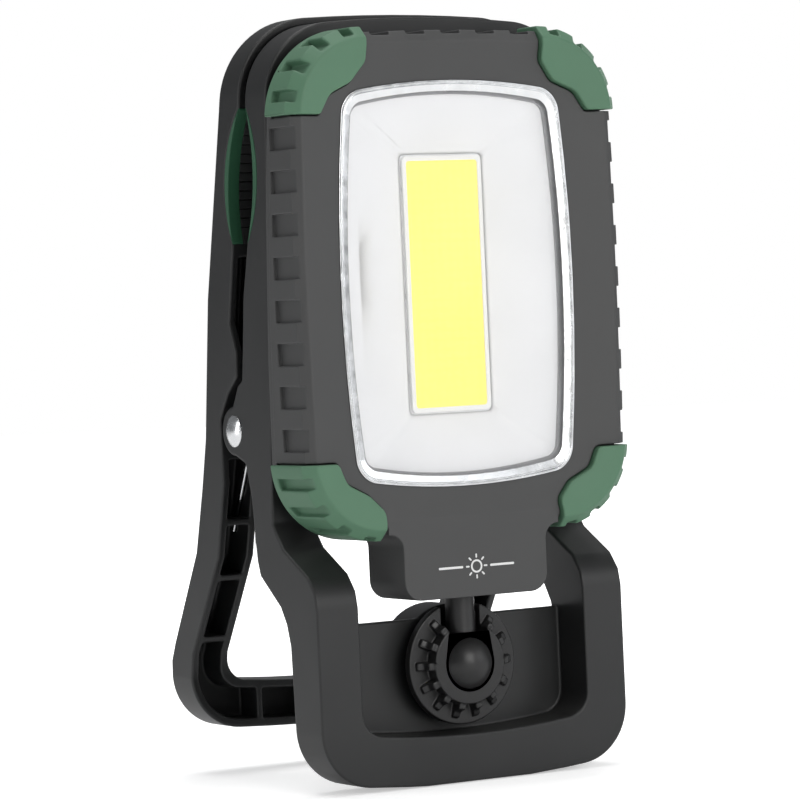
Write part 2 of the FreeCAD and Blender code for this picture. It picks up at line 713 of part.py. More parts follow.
def jaw_lining(front, left, right, toothed):
    """A lining of even thickness in a jaw hollow, with grip teeth if wanted."""
    hollow_side = jaw_block(front, 0.0, left - 1.0, right + 1.0)
    lining = jaw_block(front, float(pad_wall), left, right).cut(hollow_side)
    if toothed:
        a, m, b = jaw_curve(front, 0.0)
        sag = m[0] - (a[0] + b[0]) / 2.0
        count = int((jh - jl - 4.0) / float(tooth_pitch))
        for i in range(count):
            z = (jl + jh) / 2.0 + (i - (count - 1) / 2.0) * float(tooth_pitch)
            share = (z - jl) / (jh - jl)
            y = a[0] + (b[0] - a[0]) * share + sag * 4.0 * share * (1.0 - share)
            d = float(tooth_depth)
            reach = -d if front else d
            points = [(y - reach * 3.0, z - d), (y + reach, z), (y - reach * 3.0, z + d)]
            lining = lining.cut(side_band(points, left - 1.0, right + 1.0))
    return lining


jaw_cut = jaw_block(True, float(pad_wall), -60.0, 60.0)
front_solid = front_solid.cut(jaw_cut).cut(spring_slots)
front_solid = front_solid.removeSplitter()
solid_part("front_frame", front_solid)

grip_in = front_leg_in
grip_mid = fh - float(pad_width)
for side, word in ((-1, "left"), (1, "right")):
    low = min(side * grip_mid, side * fh)
    high = max(side * grip_mid, side * fh)
    solid_part("front_jaw_pad_" + word, jaw_lining(True, low, high, False))
    low = min(side * grip_in, side * grip_mid)
    high = max(side * grip_in, side * grip_mid)
    solid_part("front_jaw_grip_" + word, jaw_lining(True, low, high, True))


# ---- rear frame ---------------------------------------------------------------------------------------

rd = float(rear_depth)
rtop = float(rear_top) + 5.0
rfoot = float(rear_foot) - 5.0
rj = rear_front_edge(jh)


def kick(share, height):
    """A point of the rear frame's sloping leg: share 0 at the hinge's depth, share 1 at the foot's back."""
    return (hy + share * (rd - hy), height)


rear_side_front = [
    kick(0.725, rfoot), kick(0.725, 24.0), kick(0.694, 30.4), kick(0.491, 42.7), kick(0.291, 55.0),
    (hy + er + 0.9, hz - 13.0), (hy + er + 0.9, hz + 3.0), (hy + 2.6, hz + 9.0),
    (hy - 2.2, hz + 13.0), (hy - 2.6, hz + 19.0), (hy + 0.2, hz + 26.0), (rear_front_edge(jl), jl),
    (rj, jh), (rj - 2.0, float(rear_top)), (rj - 2.2, rtop)]
rear_side_back = [
    (rj + 5.2, rtop), (rj + 5.6, float(rear_top)), (rj + 10.0, jh), (hy + 10.7, hz + 32.0),
    (hy + 15.1, hz - 2.0), kick(0.467, 72.0), kick(0.587, 56.0), kick(0.782, 43.0), kick(0.938, 33.0),
    kick(0.995, 28.5), kick(1.0, 24.5), kick(1.0, rfoot)]
rear_outer = loop_outline(fh, float(rear_top), float(rear_foot), float(arch_radius) + 1.0,
                          float(loop_radius), 2.0, 0.0, 120.0)
rear_solid = rear_outer.common(side_band(rear_side_front + rear_side_back, -60.0, 60.0))
rear_hole = loop_outline(front_leg_in, float(rear_top) - float(arch_bar), float(rear_foot) + float(rear_bar),
                         float(arch_radius) - 6.0, 6.0, 2.0, 0.0, 120.0)
rear_solid = rear_solid.cut(rear_hole)

# the rear frame's own ears sit inside the springs
rear_ears = None
for side in (-1, 1):
    low = min(side * rear_ear_in, side * rear_ear_out)
    high = max(side * rear_ear_in, side * rear_ear_out)
    ear = rod_across(er - 0.4, low, high, hy, hz)
    web = side_band([(hy - 0.4, hz + er - 0.9), (hy + 0.4, hz - er + 0.9), (hy + 9.0, hz - er - 2.0),
                     (hy + 9.0, hz + er + 2.0)], low, high)
    piece = ear.fuse(web)
    rear_ears = piece if rear_ears is None else rear_ears.fuse(piece)
ear_room = None
for side in (-1, 1):
    low = min(side * rear_ear_out, side * (fh + 1.0))
    high = max(side * rear_ear_out, side * (fh + 1.0))
    room = rod_across(er + ear_clear + 0.3, low, high, hy, hz)
    ear_room = room if ear_room is None else ear_room.fuse(room)
rear_solid = rear_solid.cut(ear_room)

# channel open to the front, with a floor at the back
fw = float(frame_wall)
front_shift = [(p[0] - 20.0, p[1]) for p in rear_side_front]
floor_line = [(p[0] - fw, p[1]) for p in rear_side_back]
channel_side = side_band(front_shift + floor_line, -60.0, 60.0)
channel_wide = loop_outline(fh - fw, float(rear_top) - fw, float(rear_foot) + fw,
                            float(arch_radius) + 1.0 - fw, float(loop_radius) - fw, 2.0, -10.0, 120.0)
channel_core = loop_outline(front_leg_in + fw, float(rear_top) - float(arch_bar) + fw,
                            float(rear_foot) + float(rear_bar) - fw, float(arch_radius) - 6.0, 6.0, 2.0,
                            -11.0, 121.0)
channel = channel_wide.cut(channel_core).common(channel_side)
# the channel stays solid at the hinge and along the jaw
keep = side_band([(0.0, hz - 7.0), (120.0, hz - 7.0), (120.0, hz + 16.0), (0.0, hz + 16.0)], -60.0, 60.0)
keep_jaw = side_band([(0.0, jl - 3.0), (120.0, jl - 3.0), (120.0, jh + 3.0), (0.0, jh + 3.0)], -60.0, 60.0)
channel = channel.cut(keep).cut(keep_jaw)
# cross ribs stay in the channel
rib = float(rib_wall)
for height in (34.0, 50.0, 64.0):
    channel = channel.cut(side_band([(0.0, height - rib / 2.0 - 2.0), (120.0, height - rib / 2.0 + 2.0),
                                     (120.0, height + rib / 2.0 + 2.0), (0.0, height + rib / 2.0 - 2.0)],
                                    -60.0, 60.0))
for across in (-24.0, -8.0, 8.0, 24.0):
    channel = channel.cut(box(across - rib / 2.0, across + rib / 2.0, 0.0, 120.0, 0.0, 30.0))
rear_solid = rear_solid.cut(channel)
rear_solid = rear_solid.fuse(rear_ears)
moving_bore = rod_across(float(pin_radius) + float(pin_play), -fh - 2.0, fh + 2.0, hy, hz)
rear_solid = rear_solid.cut(moving_bore).cut(jaw_block(False, float(pad_wall), -60.0, 60.0)).cut(spring_slots)
rear_solid = rear_solid.removeSplitter()
solid_part("rear_frame", rear_solid)
for side, word in ((-1, "left"), (1, "right")):
    low = min(side * grip_mid, side * fh)
    high = max(side * grip_mid, side * fh)
    solid_part("rear_jaw_pad_" + word, jaw_lining(False, low, high, False))
    low = min(side * grip_in, side * grip_mid)
    high = max(side * grip_in, side * grip_mid)
    solid_part("rear_jaw_grip_" + word, jaw_lining(False, low, high, True))

# ---- hinge: rivets and torsion springs ----------------------------------------------------------------

rivet_in = rear_ear_in - 1.5
dome_r = (float(rivet_head) ** 2 + float(rivet_dome) ** 2) / (2.0 * float(rivet_dome))
dome = Part.makeSphere(dome_r, V(fh + float(rivet_dome) - dome_r, hy, hz))
rivet = rod_across(float(pin_radius), rivet_in, fh + 0.1, hy, hz)
rivet = rivet.fuse(rod_across(float(rivet_head), fh, fh + 3.0, hy, hz).common(dome))
rivet = rivet.fuse(rod_across(float(pin_radius) + 1.1, rivet_in, rivet_in + 1.1, hy, hz)).removeSplitter()
solid_part("hinge_rivet_right", rivet)
solid_part("hinge_rivet_left", rivet.mirror(V(0, 0, 0), V(1, 0, 0)))
solid_part("hinge_spring_right", torsion_spring(0.0, False))
solid_part("hinge_spring_left", torsion_spring(0.0, True))


# ---- ball socket knob ---------------------------------------------------------------------------------

by = float(ball_set)
bz = float(ball_height)
br = float(ball_radius)
cavity = br + float(ball_play)
cs = float(collar_set)
cr = float(collar_radius)
fs = float(flange_set)
fe = fs + float(flange_wall)
sb = float(stem_back)
fin_count = 14
knob = rod_deep(float(collar_radius), cs, fe, 0.0, bz)
knob = knob.fuse(rod_deep(float(flange_radius), fs, fe, 0.0, bz))
knob = knob.fuse(rod_deep(float(stem_radius), fs, sb, 0.0, bz))
for i in range(fin_count):
    turn = 360.0 / fin_count * (i + 0.5)
    half = float(fin_wall) / 2.0
    fin = side_band([(fe - 0.2, 0.0), (fs - 3.2, 0.0), (fs - 3.2, cr + 1.4), (fs - 1.4, cr + 2.0),
                     (fs - 0.9, float(fin_reach)), (fe - 0.2, float(fin_reach))], -half, half)
    fin.translate(V(0, 0, bz))
    fin.rotate(V(0, 0, bz), V(0, 1, 0), turn)
    knob = knob.fuse(fin)
knob = knob.cut(Part.makeSphere(cavity, V(0, by, bz))).cut(rod_deep(cavity, by, sb + 1.0, 0.0, bz))
knob = knob.cut(rod_deep(float(collar_mouth), cs - 1.0, by, 0.0, bz))
slot_back = by + float(rod_radius) + 0.4
half = float(slot_half)
knob = knob.cut(box(-half, half, cs - 6.0, slot_back, bz, bz + 20.0))
groove_near = float(boss_back) + float(washer_wall) + 0.05
groove_far = groove_near + float(ring_wall) + 0.1
groove = rod_deep(float(stem_radius) + 1.0, groove_near, groove_far, 0.0, bz)
groove = groove.cut(rod_deep(float(stem_radius - ring_depth), groove_near - 1.0, groove_far + 1.0, 0.0, bz))
knob = knob.cut(groove).removeSplitter()
solid_part("knob", knob)

seat_near = by + float(seat_lead)
seat_far = by + br + float(seat_floor)
seat = rod_deep(cavity - float(fit_gap) / 2.0, seat_near, seat_far, 0.0, bz)
seat = seat.cut(Part.makeSphere(br + float(ball_play) / 2.0, V(0, by, bz)))
seat = seat.cut(box(-half, half, cs - 6.0, slot_back, bz, bz + 20.0))
solid_part("ball_seat", seat)
coil_near = ball_set + ball_radius + seat_floor
coil_in = ball_radius * 0.45
coil_out = ball_radius - 0.4
turned_deep("seat_spring", [(coil_in, 0.0), (coil_out, 0.0), (coil_out, coil_length), (coil_in, coil_length)],
            0.0, coil_near, ball_height)
plug_near = coil_near + coil_length
plug_length = stem_back - 0.4 - plug_near
turned_deep("seat_plug", [(2.0, 0.0), (ball_radius + ball_play, 0.0), (ball_radius + ball_play, plug_length),
                          (3.4, plug_length), (2.0, plug_length - 1.6)], 0.0, plug_near, ball_height)
wash_in = stem_radius + stem_play + 0.05
wash_out = wash_in + 3.6
turned_deep("knob_washer", [(wash_in, 0.0), (wash_out, 0.0), (wash_out, washer_wall), (wash_in, washer_wall)],
            0.0, boss_back, ball_height)
ring_in = stem_radius - ring_depth
ring_out = ring_in + 3.0
turned_deep("knob_ring", [(ring_in, 0.0), (ring_out, 0.0), (ring_out, ring_wall), (ring_in, ring_wall)],
            0.0, boss_back + washer_wall + 0.05, ball_height)


# ---- neck ---------------------------------------------------------------------------------------------

rr = float(rod_radius)
clip_up = rod_top - clip_drop
neck = Part.makeSphere(br, V(0, by, bz))
neck = neck.fuse(Part.makeCylinder(rr, float(rod_top) - bz, V(0, by, bz), V(0, 0, 1)))
neck_groove = Part.makeCylinder(rr + 1.0, float(ring_wall), V(0, by, float(clip_up)), V(0, 0, 1))
core = Part.makeCylinder(rr - float(clip_depth), 3.0, V(0, by, float(clip_up) - 1.0), V(0, 0, 1))
neck = neck.cut(neck_groove.cut(core)).removeSplitter()
solid_part("neck", neck)
clip_in = rod_radius - clip_depth
clip_tall = ring_wall - 0.1
turned_up("neck_clip", [(clip_in, 0.0), (clip_radius, 0.0), (clip_radius, clip_tall), (clip_in, clip_tall)],
          0.0, ball_set, clip_up + 0.05)


# ---- lamp head: casing --------------------------------------------------------------------------------

cw = float(case_wall)
kw = float(cover_wall)
inner_rod = float(rod_radius) + float(bush_play)
lead = float(face_lead)
bs = float(bevel_side)
side_near = float(bevel_deep) - lead
front_edge = Part.makeLoft([wire_at(head_block(bs, -lead, 20.0), -lead),
                            wire_at(head_block(0.0, side_near, 20.0), side_near)], True, True)
casing_full = front_edge.fuse(head_block(0.0, side_near, 40.0))
ch = float(chin_half)
cb = float(chin_base)
cc = float(chin_round)
hbase = float(head_base)
chin_top = hbase + 8.0
arm = ch + float(chin_root) + 0.3
chin = outline_block([(-ch, cb), (ch, cb), (ch, hbase), (arm, hbase), (arm, chin_top), (-arm, chin_top),
                      (-arm, hbase), (-ch, hbase)],
                     [0] * 8, [cc, cc, float(chin_root), 0, 0, 0, 0, float(chin_root)], -lead, float(chin_deep))
casing_full = casing_full.fuse(chin)

# the face is dished: it falls back from its outer edge to the window
dish = Part.makeLoft([wire_at(head_block(bs + float(face_lip), -lead, 20.0), -lead),
                      wire_at(window_block(-0.4, 0.0, 20.0), 0.0)], True, True)
casing_full = casing_full.cut(dish)
casing = casing_full.cut(behind(-kw))

# hollow inside, leaving the chin solid round the neck bush
hollow = head_block(cw, cw, 40.0)
casing = casing.cut(hollow)
bush_low = cb + 0.6
bush_high = float(clip_up) - 1.2
clip_room = float(clip_radius) + 0.3
casing = casing.cut(box(-clip_room - 2.9, clip_room + 2.9, by - clip_room, by + clip_room + 0.8,
                        bush_high, hbase + 6.0))
bush_bore = Part.makeCylinder(float(bush_radius), bush_high - bush_low, V(0, by, bush_low), V(0, 0, 1))
casing = casing.cut(bush_bore)
casing = casing.cut(Part.makeCylinder(inner_rod + 0.3, 10.0, V(0, by, cb - 5.0), V(0, 0, 1)))

# window opening, stepped for the rim
casing = casing.cut(window_block(-0.02, -5.0, 40.0))

# grip notches down both sides and along the top
mid_z = float(window_mid)
for i in range(8):
    z = mid_z + (i - 3.5) * float(notch_pitch)
    tall = float(notch_height) / 2.0
    sag = float(head_bulge) * (1.0 - ((z - mid_z) / ((float(head_top) - hbase) / 2.0)) ** 2)
    deep_end = float(notch_reach)
    for side in (-1, 1):
        skin = side * (float(head_half) + sag - float(notch_deep))
        low = min(skin, side * 60.0)
        high = max(skin, side * 60.0)
        casing = casing.cut(box(low, high, -lead - 1.0, deep_end, z - tall, z + tall))
for i in range(5):
    x = (i - 2.0) * float(top_pitch)
    sag = float(top_bulge) * (1.0 - (x / float(head_half)) ** 2)
    casing = casing.cut(box(x - 2.6, x + 2.6, -lead - 1.0, deep_end - 2.0, float(head_top) + sag - 0.9, 200.0))

# bosses for the case screws and posts for the heat spreader
screw_x = float(head_half) - 7.0
post_x = float(head_half) - 6.4
screw_spots = [(x, z) for z in (hbase + 15.5, float(head_top) - 14.8) for x in (-screw_x, screw_x)]
post_spots = [(x, z) for z in (mid_z - 23.0, mid_z + 23.0) for x in (-post_x, post_x)]
spread_near = float(led_set) + float(board_wall)
for x, z in screw_spots:
    boss = rod_deep(2.6, cw - 0.2, 40.0, x, z).cut(behind(-kw))
    casing = casing.fuse(boss)
for x, z in post_spots:
    casing = casing.fuse(rod_deep(2.2, cw - 0.2, spread_near, x, z))


# ---- corner bumpers -----------------------------------------------------------------------------------

proud = float(bumper_proud)
sunk = float(bumper_sunk)
bumper_near = -lead - proud
bumper_face = wire_at(head_block(bs - proud * 0.6, bumper_near, 20.0), bumper_near)
bumper_side = wire_at(head_block(-proud, side_near, 20.0), side_near)
bumper_edge = Part.makeLoft([bumper_face, bumper_side], True, True)
bumper_skin = bumper_edge.fuse(head_block(-proud, side_near, 40.0)).cut(behind(-kw))
bumper_skin = bumper_skin.cut(head_block(sunk, sunk, 60.0)).cut(dish.translated(V(0, -proud, 0)))
w = float(head_half)
t = float(head_top)
b = float(head_base)
upper_zone = [(w - 19.4, t + 8.0, 0), (w - 19.4, t - 6.0, 3.0), (w - 15.6, t - 10.8, 4.0),
              (w - 9.6, t - 13.4, 4.5), (w - 6.6, t - 18.2, 1.2), (w + 8.0, t - 18.0, 0),
              (w + 8.0, t + 8.0, 0)]
lower_zone = [(w + 8.0, b + 17.8, 0), (w - 7.4, b + 17.6, 1.5), (w - 9.6, b + 12.6, 3.5),
              (w - 15.6, b + 9.6, 4.0), (w - 19.4, b + 5.6, 3.0), (w - 18.4, b - 8.0, 0),
              (w + 8.0, b - 8.0, 0)]


def zone_block(zone, margin):
    """A block over a corner zone given as (across, up, radius), grown by a margin."""
    points = [(p[0], p[1]) for p in zone]
    block = outline_block(points, [0] * len(points), [p[2] for p in zone], -10.0, 60.0)
    if margin > 0:
        edge = Part.Face(wire_at(block, -10.0)).makeOffset2D(margin)
        block = edge.extrude(V(0, 70.0, 0))
    return block


corner_x = w - float(head_radius)
for word, zone, cz, first in (("upper", upper_zone, t - float(head_radius), 16.0),
                              ("lower", lower_zone, b + float(head_radius), -79.0)):
    piece = bumper_skin.common(zone_block(zone, 0.0))
    # grip pockets fan round the corner
    for i in range(4):
        turn = first + i * 20.5
        reach = float(head_radius) + proud - float(bumper_notch)
        far = head_back(cz + reach * math.sin(math.radians(turn))) - kw - float(pocket_rim)
        cutter = box(reach, reach + 8.0, bumper_near - 1.0, far, -float(pocket_half), float(pocket_half))
        cutter.rotate(V(0, 0, 0), V(0, 1, 0), -turn)
        cutter.translate(V(corner_x, 0, cz))
        piece = piece.cut(cutter)
    piece = piece.removeSplitter()
    recess = bumper_skin.common(zone_block(zone, float(bumper_groove)))
    casing = casing.cut(recess).cut(recess.mirror(V(0, 0, 0), V(1, 0, 0)))
    solid_part("bumper_%s_right" % word, piece)
    solid_part("bumper_%s_left" % word, piece.mirror(V(0, 0, 0), V(1, 0, 0)))
casing = casing.removeSplitter()


# ---- back cover with the battery bay ------------------------------------------------------------------

inset = 0.5
cover = head_block(inset, 0.0, 40.0).cut(behind(0.0)).common(behind(-kw))
bh = float(bay_half)
bl = float(bay_low)
bt = float(bay_high)
bb = float(bay_back)
bw = float(bay_wall)
bay_corners = [(-bh, bl), (bh, bl), (bh, bt), (-bh, bt)]
bay = outline_block(bay_corners, [0] * 4, [5.0] * 4, 8.0, bb)
cover = cover.fuse(bay.common(behind(-kw)))
room = outline_block([(-bh + bw, bl + bw), (bh - bw, bl + bw), (bh - bw, bt - bw), (-bh + bw, bt - bw)],
                     [0] * 4, [5.0 - bw] * 4, 0.0, bb - bw)
cover = cover.cut(room)
pb = float(button_radius)
cover = cover.cut(rod_deep(pb + float(button_gap), 10.0, 40.0, 0.0, float(button_height)))
driver_set = led_set + board_wall + spreader_wall + foam_wall + cell_thick + 0.7
driver_far = float(driver_set + driver_wall)
for x in (-1, 1):
    for z in (bl + 4.5, bt - 4.5):
        cover = cover.fuse(rod_deep(2.0, driver_far, bb - bw + 0.2, x * (float(driver_half) - 3.0), z))
port_z = float(port_height)
port_corners = [(-4.7, port_z - 1.8), (4.7, port_z - 1.8), (4.7, port_z + 1.8), (-4.7, port_z + 1.8)]
cover = cover.cut(outline_block(port_corners, [0] * 4, [1.7] * 4, 10.0, 40.0))
fw2 = float(flap_half)
ft = float(flap_tall) / 2.0
fk = float(flap_wall)
flap_near = bb - fk + 0.1
pivot_x = -fw2 - 1.0
pivot_y = flap_near + 0.75
cover = cover.cut(box(-fw2 - 0.3, fw2 + 0.3, flap_near - 0.15, 40.0, port_z - ft - 0.3, port_z + ft + 0.3))
cover = cover.cut(Part.makeCylinder(1.15, ft * 2.0 + 0.6, V(pivot_x, pivot_y, port_z - ft - 0.3), V(0, 0, 1)))
cover = cover.cut(box(pivot_x - 1.15, -fw2, pivot_y, 40.0, port_z - ft - 0.3, port_z + ft + 0.3))
light_z = (port_z + float(button_height)) / 2.0
for i in range(4):
    cover = cover.cut(rod_deep(1.0, 10.0, 40.0, (i - 1.5) * float(light_pitch), light_z))
for x, z in screw_spots:
    cover = cover.cut(rod_deep(float(screw_head) + 0.15, head_back(z) - 1.3, 40.0, x, z))
    cover = cover.cut(rod_deep(float(screw_radius) + 0.15, 0.0, 40.0, x, z))
    casing = casing.cut(rod_deep(float(screw_radius), head_back(z) - 9.0, 40.0, x, z))
cover = cover.removeSplitter()
solid_part("front_casing", casing)
solid_part("back_cover", cover)

for index, spot in enumerate(screw_spots):
    x, z = spot
    near = head_back(z) - 1.3
    turned_deep("case_screw_%d" % (index + 1),
                [(0.0, -6.4), (screw_radius, -6.4), (screw_radius, 0.0), (screw_head, 0.0), (screw_head, 0.8),
                 (1.1, 1.15), (0.9, 0.5), (0.0, 0.5)], x, near, z)


# ---- window, optics -----------------------------------------------------------------------------------

ls = float(lens_set)
lw = float(lens_wall)
gw = float(gasket_wall)
lip = float(rim_lip)
rw = float(rim_wall)
rp = float(rim_proud)
fg = float(fit_gap)
skirt_far = ls + lw + gw + 0.9
rim_lip_edge = Part.makeLoft([wire_at(window_block(float(lip_flat), -rp, 20.0), -rp),
                              wire_at(window_block(lip, ls, 20.0), ls)], True, True)
rim_groove = window_block(float(lip_flat), -5.0, rp)
rim_groove = rim_groove.cut(window_block(float(lip_flat + lip_groove), -6.0, 20.0))
rim = window_block(0.0, -rp, skirt_far).cut(rim_lip_edge).cut(rim_groove).cut(window_block(rw, ls, 20.0))
rim = rim.cut(window_block(lip, -5.0, 20.0))
solid_part("window_rim", rim.removeSplitter())
solid_part("lens", window_block(rw + fg, ls, ls + lw))
gasket = window_block(rw + fg, ls + lw, ls + lw + gw).cut(window_block(rw + 1.9, 0.0, 20.0))
solid_part("lens_gasket", gasket)

flare_near = ls + lw + gw
board_near = float(led_set)
open_half = float(led_half) + float(dam_wall) + 0.2
open_tall = float(led_tall) + float(dam_wall) + 0.2


def light_area(half, tall, corner, near, far):
    """A block over the light area, centred in the window."""
    corners = [(-half, mid_z - tall), (half, mid_z - tall), (half, mid_z + tall), (-half, mid_z + tall)]
    return outline_block(corners, [0] * 4, [corner] * 4, near, far)


def funnel(grow, near, far):
    """The reflector's four slopes, from the window's outline to the light board's border."""
    mouth = wire_at(window_block(rw + 1.9 - grow, near, 30.0), near)
    throat = light_area(open_half + grow, open_tall + grow, 1.2 + grow, far, 30.0)
    return Part.makeLoft([mouth, wire_at(throat, far)], True, True)


wall = float(reflector_wall)
reflector = window_block(rw + fg, flare_near, flare_near + wall)
reflector = reflector.fuse(funnel(wall, flare_near + 0.3, board_near))
reflector = reflector.cut(funnel(0.0, flare_near, board_near))
reflector = reflector.cut(light_area(open_half, open_tall, 1.2, board_near - 0.05, 30.0))
solid_part("reflector", reflector)

dam_near = board_near - float(dam_height)
dam = light_area(float(led_half + dam_wall), float(led_tall + dam_wall), 1.2, dam_near, board_near)
glow_block = light_area(float(led_half), float(led_tall), 0.8, dam_near - 1.0, board_near + 1.0)
solid_part("led_border", dam.cut(glow_block))
phosphor_thick = dam_height - 0.15
plate("led_phosphor", led_half * 2.0, led_tall * 2.0, phosphor_thick, 0.0, led_set - phosphor_thick,
      window_mid, 0.8)
plate("led_board", led_half * 2.0 + 8.0, led_tall * 2.0 + 9.0, board_wall, 0.0, led_set, window_mid, 1.5)
plate("heat_spreader", head_half * 2.0 - 9.0, led_tall * 2.0 + 8.8, spreader_wall, 0.0, led_set + board_wall,
      window_mid, 3.0)
foam_near = led_set + board_wall + spreader_wall
cell_mid = bay_high - bay_wall - 0.8 - cell_tall / 2.0 - 12.0
plate("battery_pad", cell_wide - 6.0, cell_tall - 6.0, foam_wall, 0.0, foam_near, cell_mid, 1.0)
plate("battery_cell", cell_wide, cell_tall, cell_thick, 0.0, foam_near + foam_wall, cell_mid, 2.0)
plate("driver_board", driver_half * 2.0, bay_high - bay_low - bay_wall * 2.0 - 4.0, driver_wall, 0.0,
      driver_set, (bay_high + bay_low) / 2.0, 1.0)
switch_near = driver_set + driver_wall
plate("tact_switch", 6.0, 6.0, 1.9, 0.0, switch_near, button_height, 0.5)
plate("charge_port", 8.9, 3.2, bay_back - flap_wall - 0.4 - switch_near, 0.0, switch_near, port_height, 1.5)
button_near = switch_near + 1.9 + button_travel + 0.1
button_flange = button_radius + 0.9
button_length = bay_back + button_proud - button_near
turned_deep("power_button", [(0.0, 0.0), (button_flange, 0.0), (button_flange, 0.55), (button_radius, 0.55),
                             (button_radius, button_length - 0.6), (button_radius - 0.6, button_length),
                             (0.0, button_length)], 0.0, button_near, button_height)

flap = box(pivot_x, fw2, flap_near, flap_near + fk, port_z - ft, port_z + ft)
flap = flap.fuse(Part.makeCylinder(0.9, ft * 2.0, V(pivot_x, pivot_y, port_z - ft), V(0, 0, 1)))
solid_part("port_flap", flap.removeSplitter())
for i in range(4):
    turned_deep("charge_light_%d" % (i + 1),
                [(0.0, 0.0), (1.6, 0.0), (1.6, 0.8), (0.95, 0.8), (0.95, 3.0), (0.0, 3.0)],
                (i - 1.5) * float(light_pitch), bay_back - 3.05, (port_height + button_height) / 2.0)
bush_in = rod_radius + bush_play
bush_tall = clip_up - 1.2 - (chin_base + 0.6)
turned_up("swivel_bush", [(bush_in, 0.0), (bush_radius, 0.0), (bush_radius, bush_tall), (bush_in, bush_tall)],
          0.0, ball_set, chin_base + 0.6)


# ---- checks and export --------------------------------------------------------------------------------

doc.recompute()
for item in doc.Objects:
    if "Invalid" in item.State or "Error" in item.State:
        raise RuntimeError("%s could not be made: %s" % (item.Label, item.State))
for thing in made:
    if thing.Shape.isNull() or not thing.Shape.isValid():
        raise RuntimeError("%s has no sound shape" % thing.Label)
os.makedirs("parts", exist_ok=True)
for thing in made:
    thing.Shape.exportStep("parts/%s.step" % thing.Label)
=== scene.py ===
import math
import bmesh
import bpy
from mathutils import Matrix, Vector


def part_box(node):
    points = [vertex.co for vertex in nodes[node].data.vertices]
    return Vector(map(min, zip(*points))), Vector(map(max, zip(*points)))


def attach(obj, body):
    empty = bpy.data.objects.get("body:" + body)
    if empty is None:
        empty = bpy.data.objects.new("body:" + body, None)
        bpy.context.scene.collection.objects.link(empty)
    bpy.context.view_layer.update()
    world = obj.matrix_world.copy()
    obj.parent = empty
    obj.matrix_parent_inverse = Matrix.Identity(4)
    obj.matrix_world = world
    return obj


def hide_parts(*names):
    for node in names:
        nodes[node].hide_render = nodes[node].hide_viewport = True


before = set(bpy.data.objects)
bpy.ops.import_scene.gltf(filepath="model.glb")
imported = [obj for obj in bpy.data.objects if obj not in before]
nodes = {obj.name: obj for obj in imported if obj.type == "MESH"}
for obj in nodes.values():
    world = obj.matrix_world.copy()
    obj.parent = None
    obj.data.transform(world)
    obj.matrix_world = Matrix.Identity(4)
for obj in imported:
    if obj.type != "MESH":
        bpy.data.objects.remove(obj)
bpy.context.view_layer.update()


# ---- Studio -------------------------------------------------------------------------------------------
# A pale table top under soft boxes, with a plain white surround. The long lens stands at the light's
# front left, a little above it, and leans over slightly, as a hand-held camera does.

def aim(thing, place, target):
    """Put a lamp or a camera at a place and turn its back away from a target."""
    thing.location = place
    thing.rotation_euler = (Vector(target) - Vector(place)).to_track_quat("-Z", "Y").to_euler()


def soft_box(name, place, target, wide, tall, power, tint):
    """One rectangular soft box."""
    lamp = bpy.data.lights.new(name, "AREA")
    lamp.shape = "RECTANGLE"
    lamp.size = wide
    lamp.size_y = tall
    lamp.energy = power
    lamp.color = tint
    thing = bpy.data.objects.new(name, lamp)
    bpy.context.collection.objects.link(thing)
    aim(thing, place, target)


soft_box("key_box", (0.05, -1.35, 0.55), (0, 0, 0.10), 0.7, 0.8, 8.5, (1.0, 0.99, 0.97))
soft_box("fill_box", (1.0, -0.9, 0.45), (0, 0, 0.10), 0.7, 0.8, 3.0, (0.97, 0.98, 1.0))
soft_box("top_box", (0.0, 0.1, 1.25), (0, 0, 0.10), 0.9, 0.9, 9.0, (1.0, 1.0, 1.0))
soft_box("left_rim_box", (-1.1, 0.25, 0.30), (0, 0, 0.10), 0.16, 0.9, 3.0, (1.0, 1.0, 1.0))
soft_box("right_rim_box", (0.9, 0.75, 0.4), (0, 0, 0.10), 0.3, 0.9, 4.0, (1.0, 1.0, 1.0))

surround = bpy.data.worlds.new("white_surround")
bpy.context.scene.world = surround
surround.use_nodes = True
tree = surround.node_tree
tree.nodes.clear()
seen = tree.nodes.new("ShaderNodeBackground")
seen.inputs["Color"].default_value = (1.0, 1.0, 1.0, 1.0)
seen.inputs["Strength"].default_value = 1.0
cast = tree.nodes.new("ShaderNodeBackground")
cast.inputs["Color"].default_value = (0.95, 0.97, 1.0, 1.0)
cast.inputs["Strength"].default_value = 0.20
ray = tree.nodes.new("ShaderNodeLightPath")
either = tree.nodes.new("ShaderNodeMixShader")
out = tree.nodes.new("ShaderNodeOutputWorld")
tree.links.new(ray.outputs["Is Camera Ray"], either.inputs[0])
tree.links.new(cast.outputs[0], either.inputs[1])
tree.links.new(seen.outputs[0], either.inputs[2])
tree.links.new(either.outputs[0], out.inputs["Surface"])

bpy.ops.mesh.primitive_circle_add(vertices=96, radius=3.0, fill_type="NGON", location=(0, 0, -0.0002))
floor = bpy.context.object
floor.name = "table_top"
paper = bpy.data.materials.new("table_paper")
paper.use_nodes = True
tree = paper.node_tree
sheet = tree.nodes["Principled BSDF"]
sheet.inputs["Base Color"].default_value = (0.88, 0.88, 0.88, 1.0)
sheet.inputs["Roughness"].default_value = 0.8
sheet.inputs["Specular IOR Level"].default_value = 0.1
spot = tree.nodes.new("ShaderNodeTexCoord")
away = tree.nodes.new("ShaderNodeVectorMath")
away.operation = "LENGTH"
tree.links.new(spot.outputs["Object"], away.inputs[0])
lift = tree.nodes.new("ShaderNodeMapRange")
tree.links.new(away.outputs["Value"], lift.inputs["Value"])
for label, value in (("From Min", 0.10), ("From Max", 0.55), ("To Min", 0.46), ("To Max", 1.0)):
    lift.inputs[label].default_value = value
tree.links.new(lift.outputs["Result"], sheet.inputs["Emission Color"])
ray = tree.nodes.new("ShaderNodeLightPath")
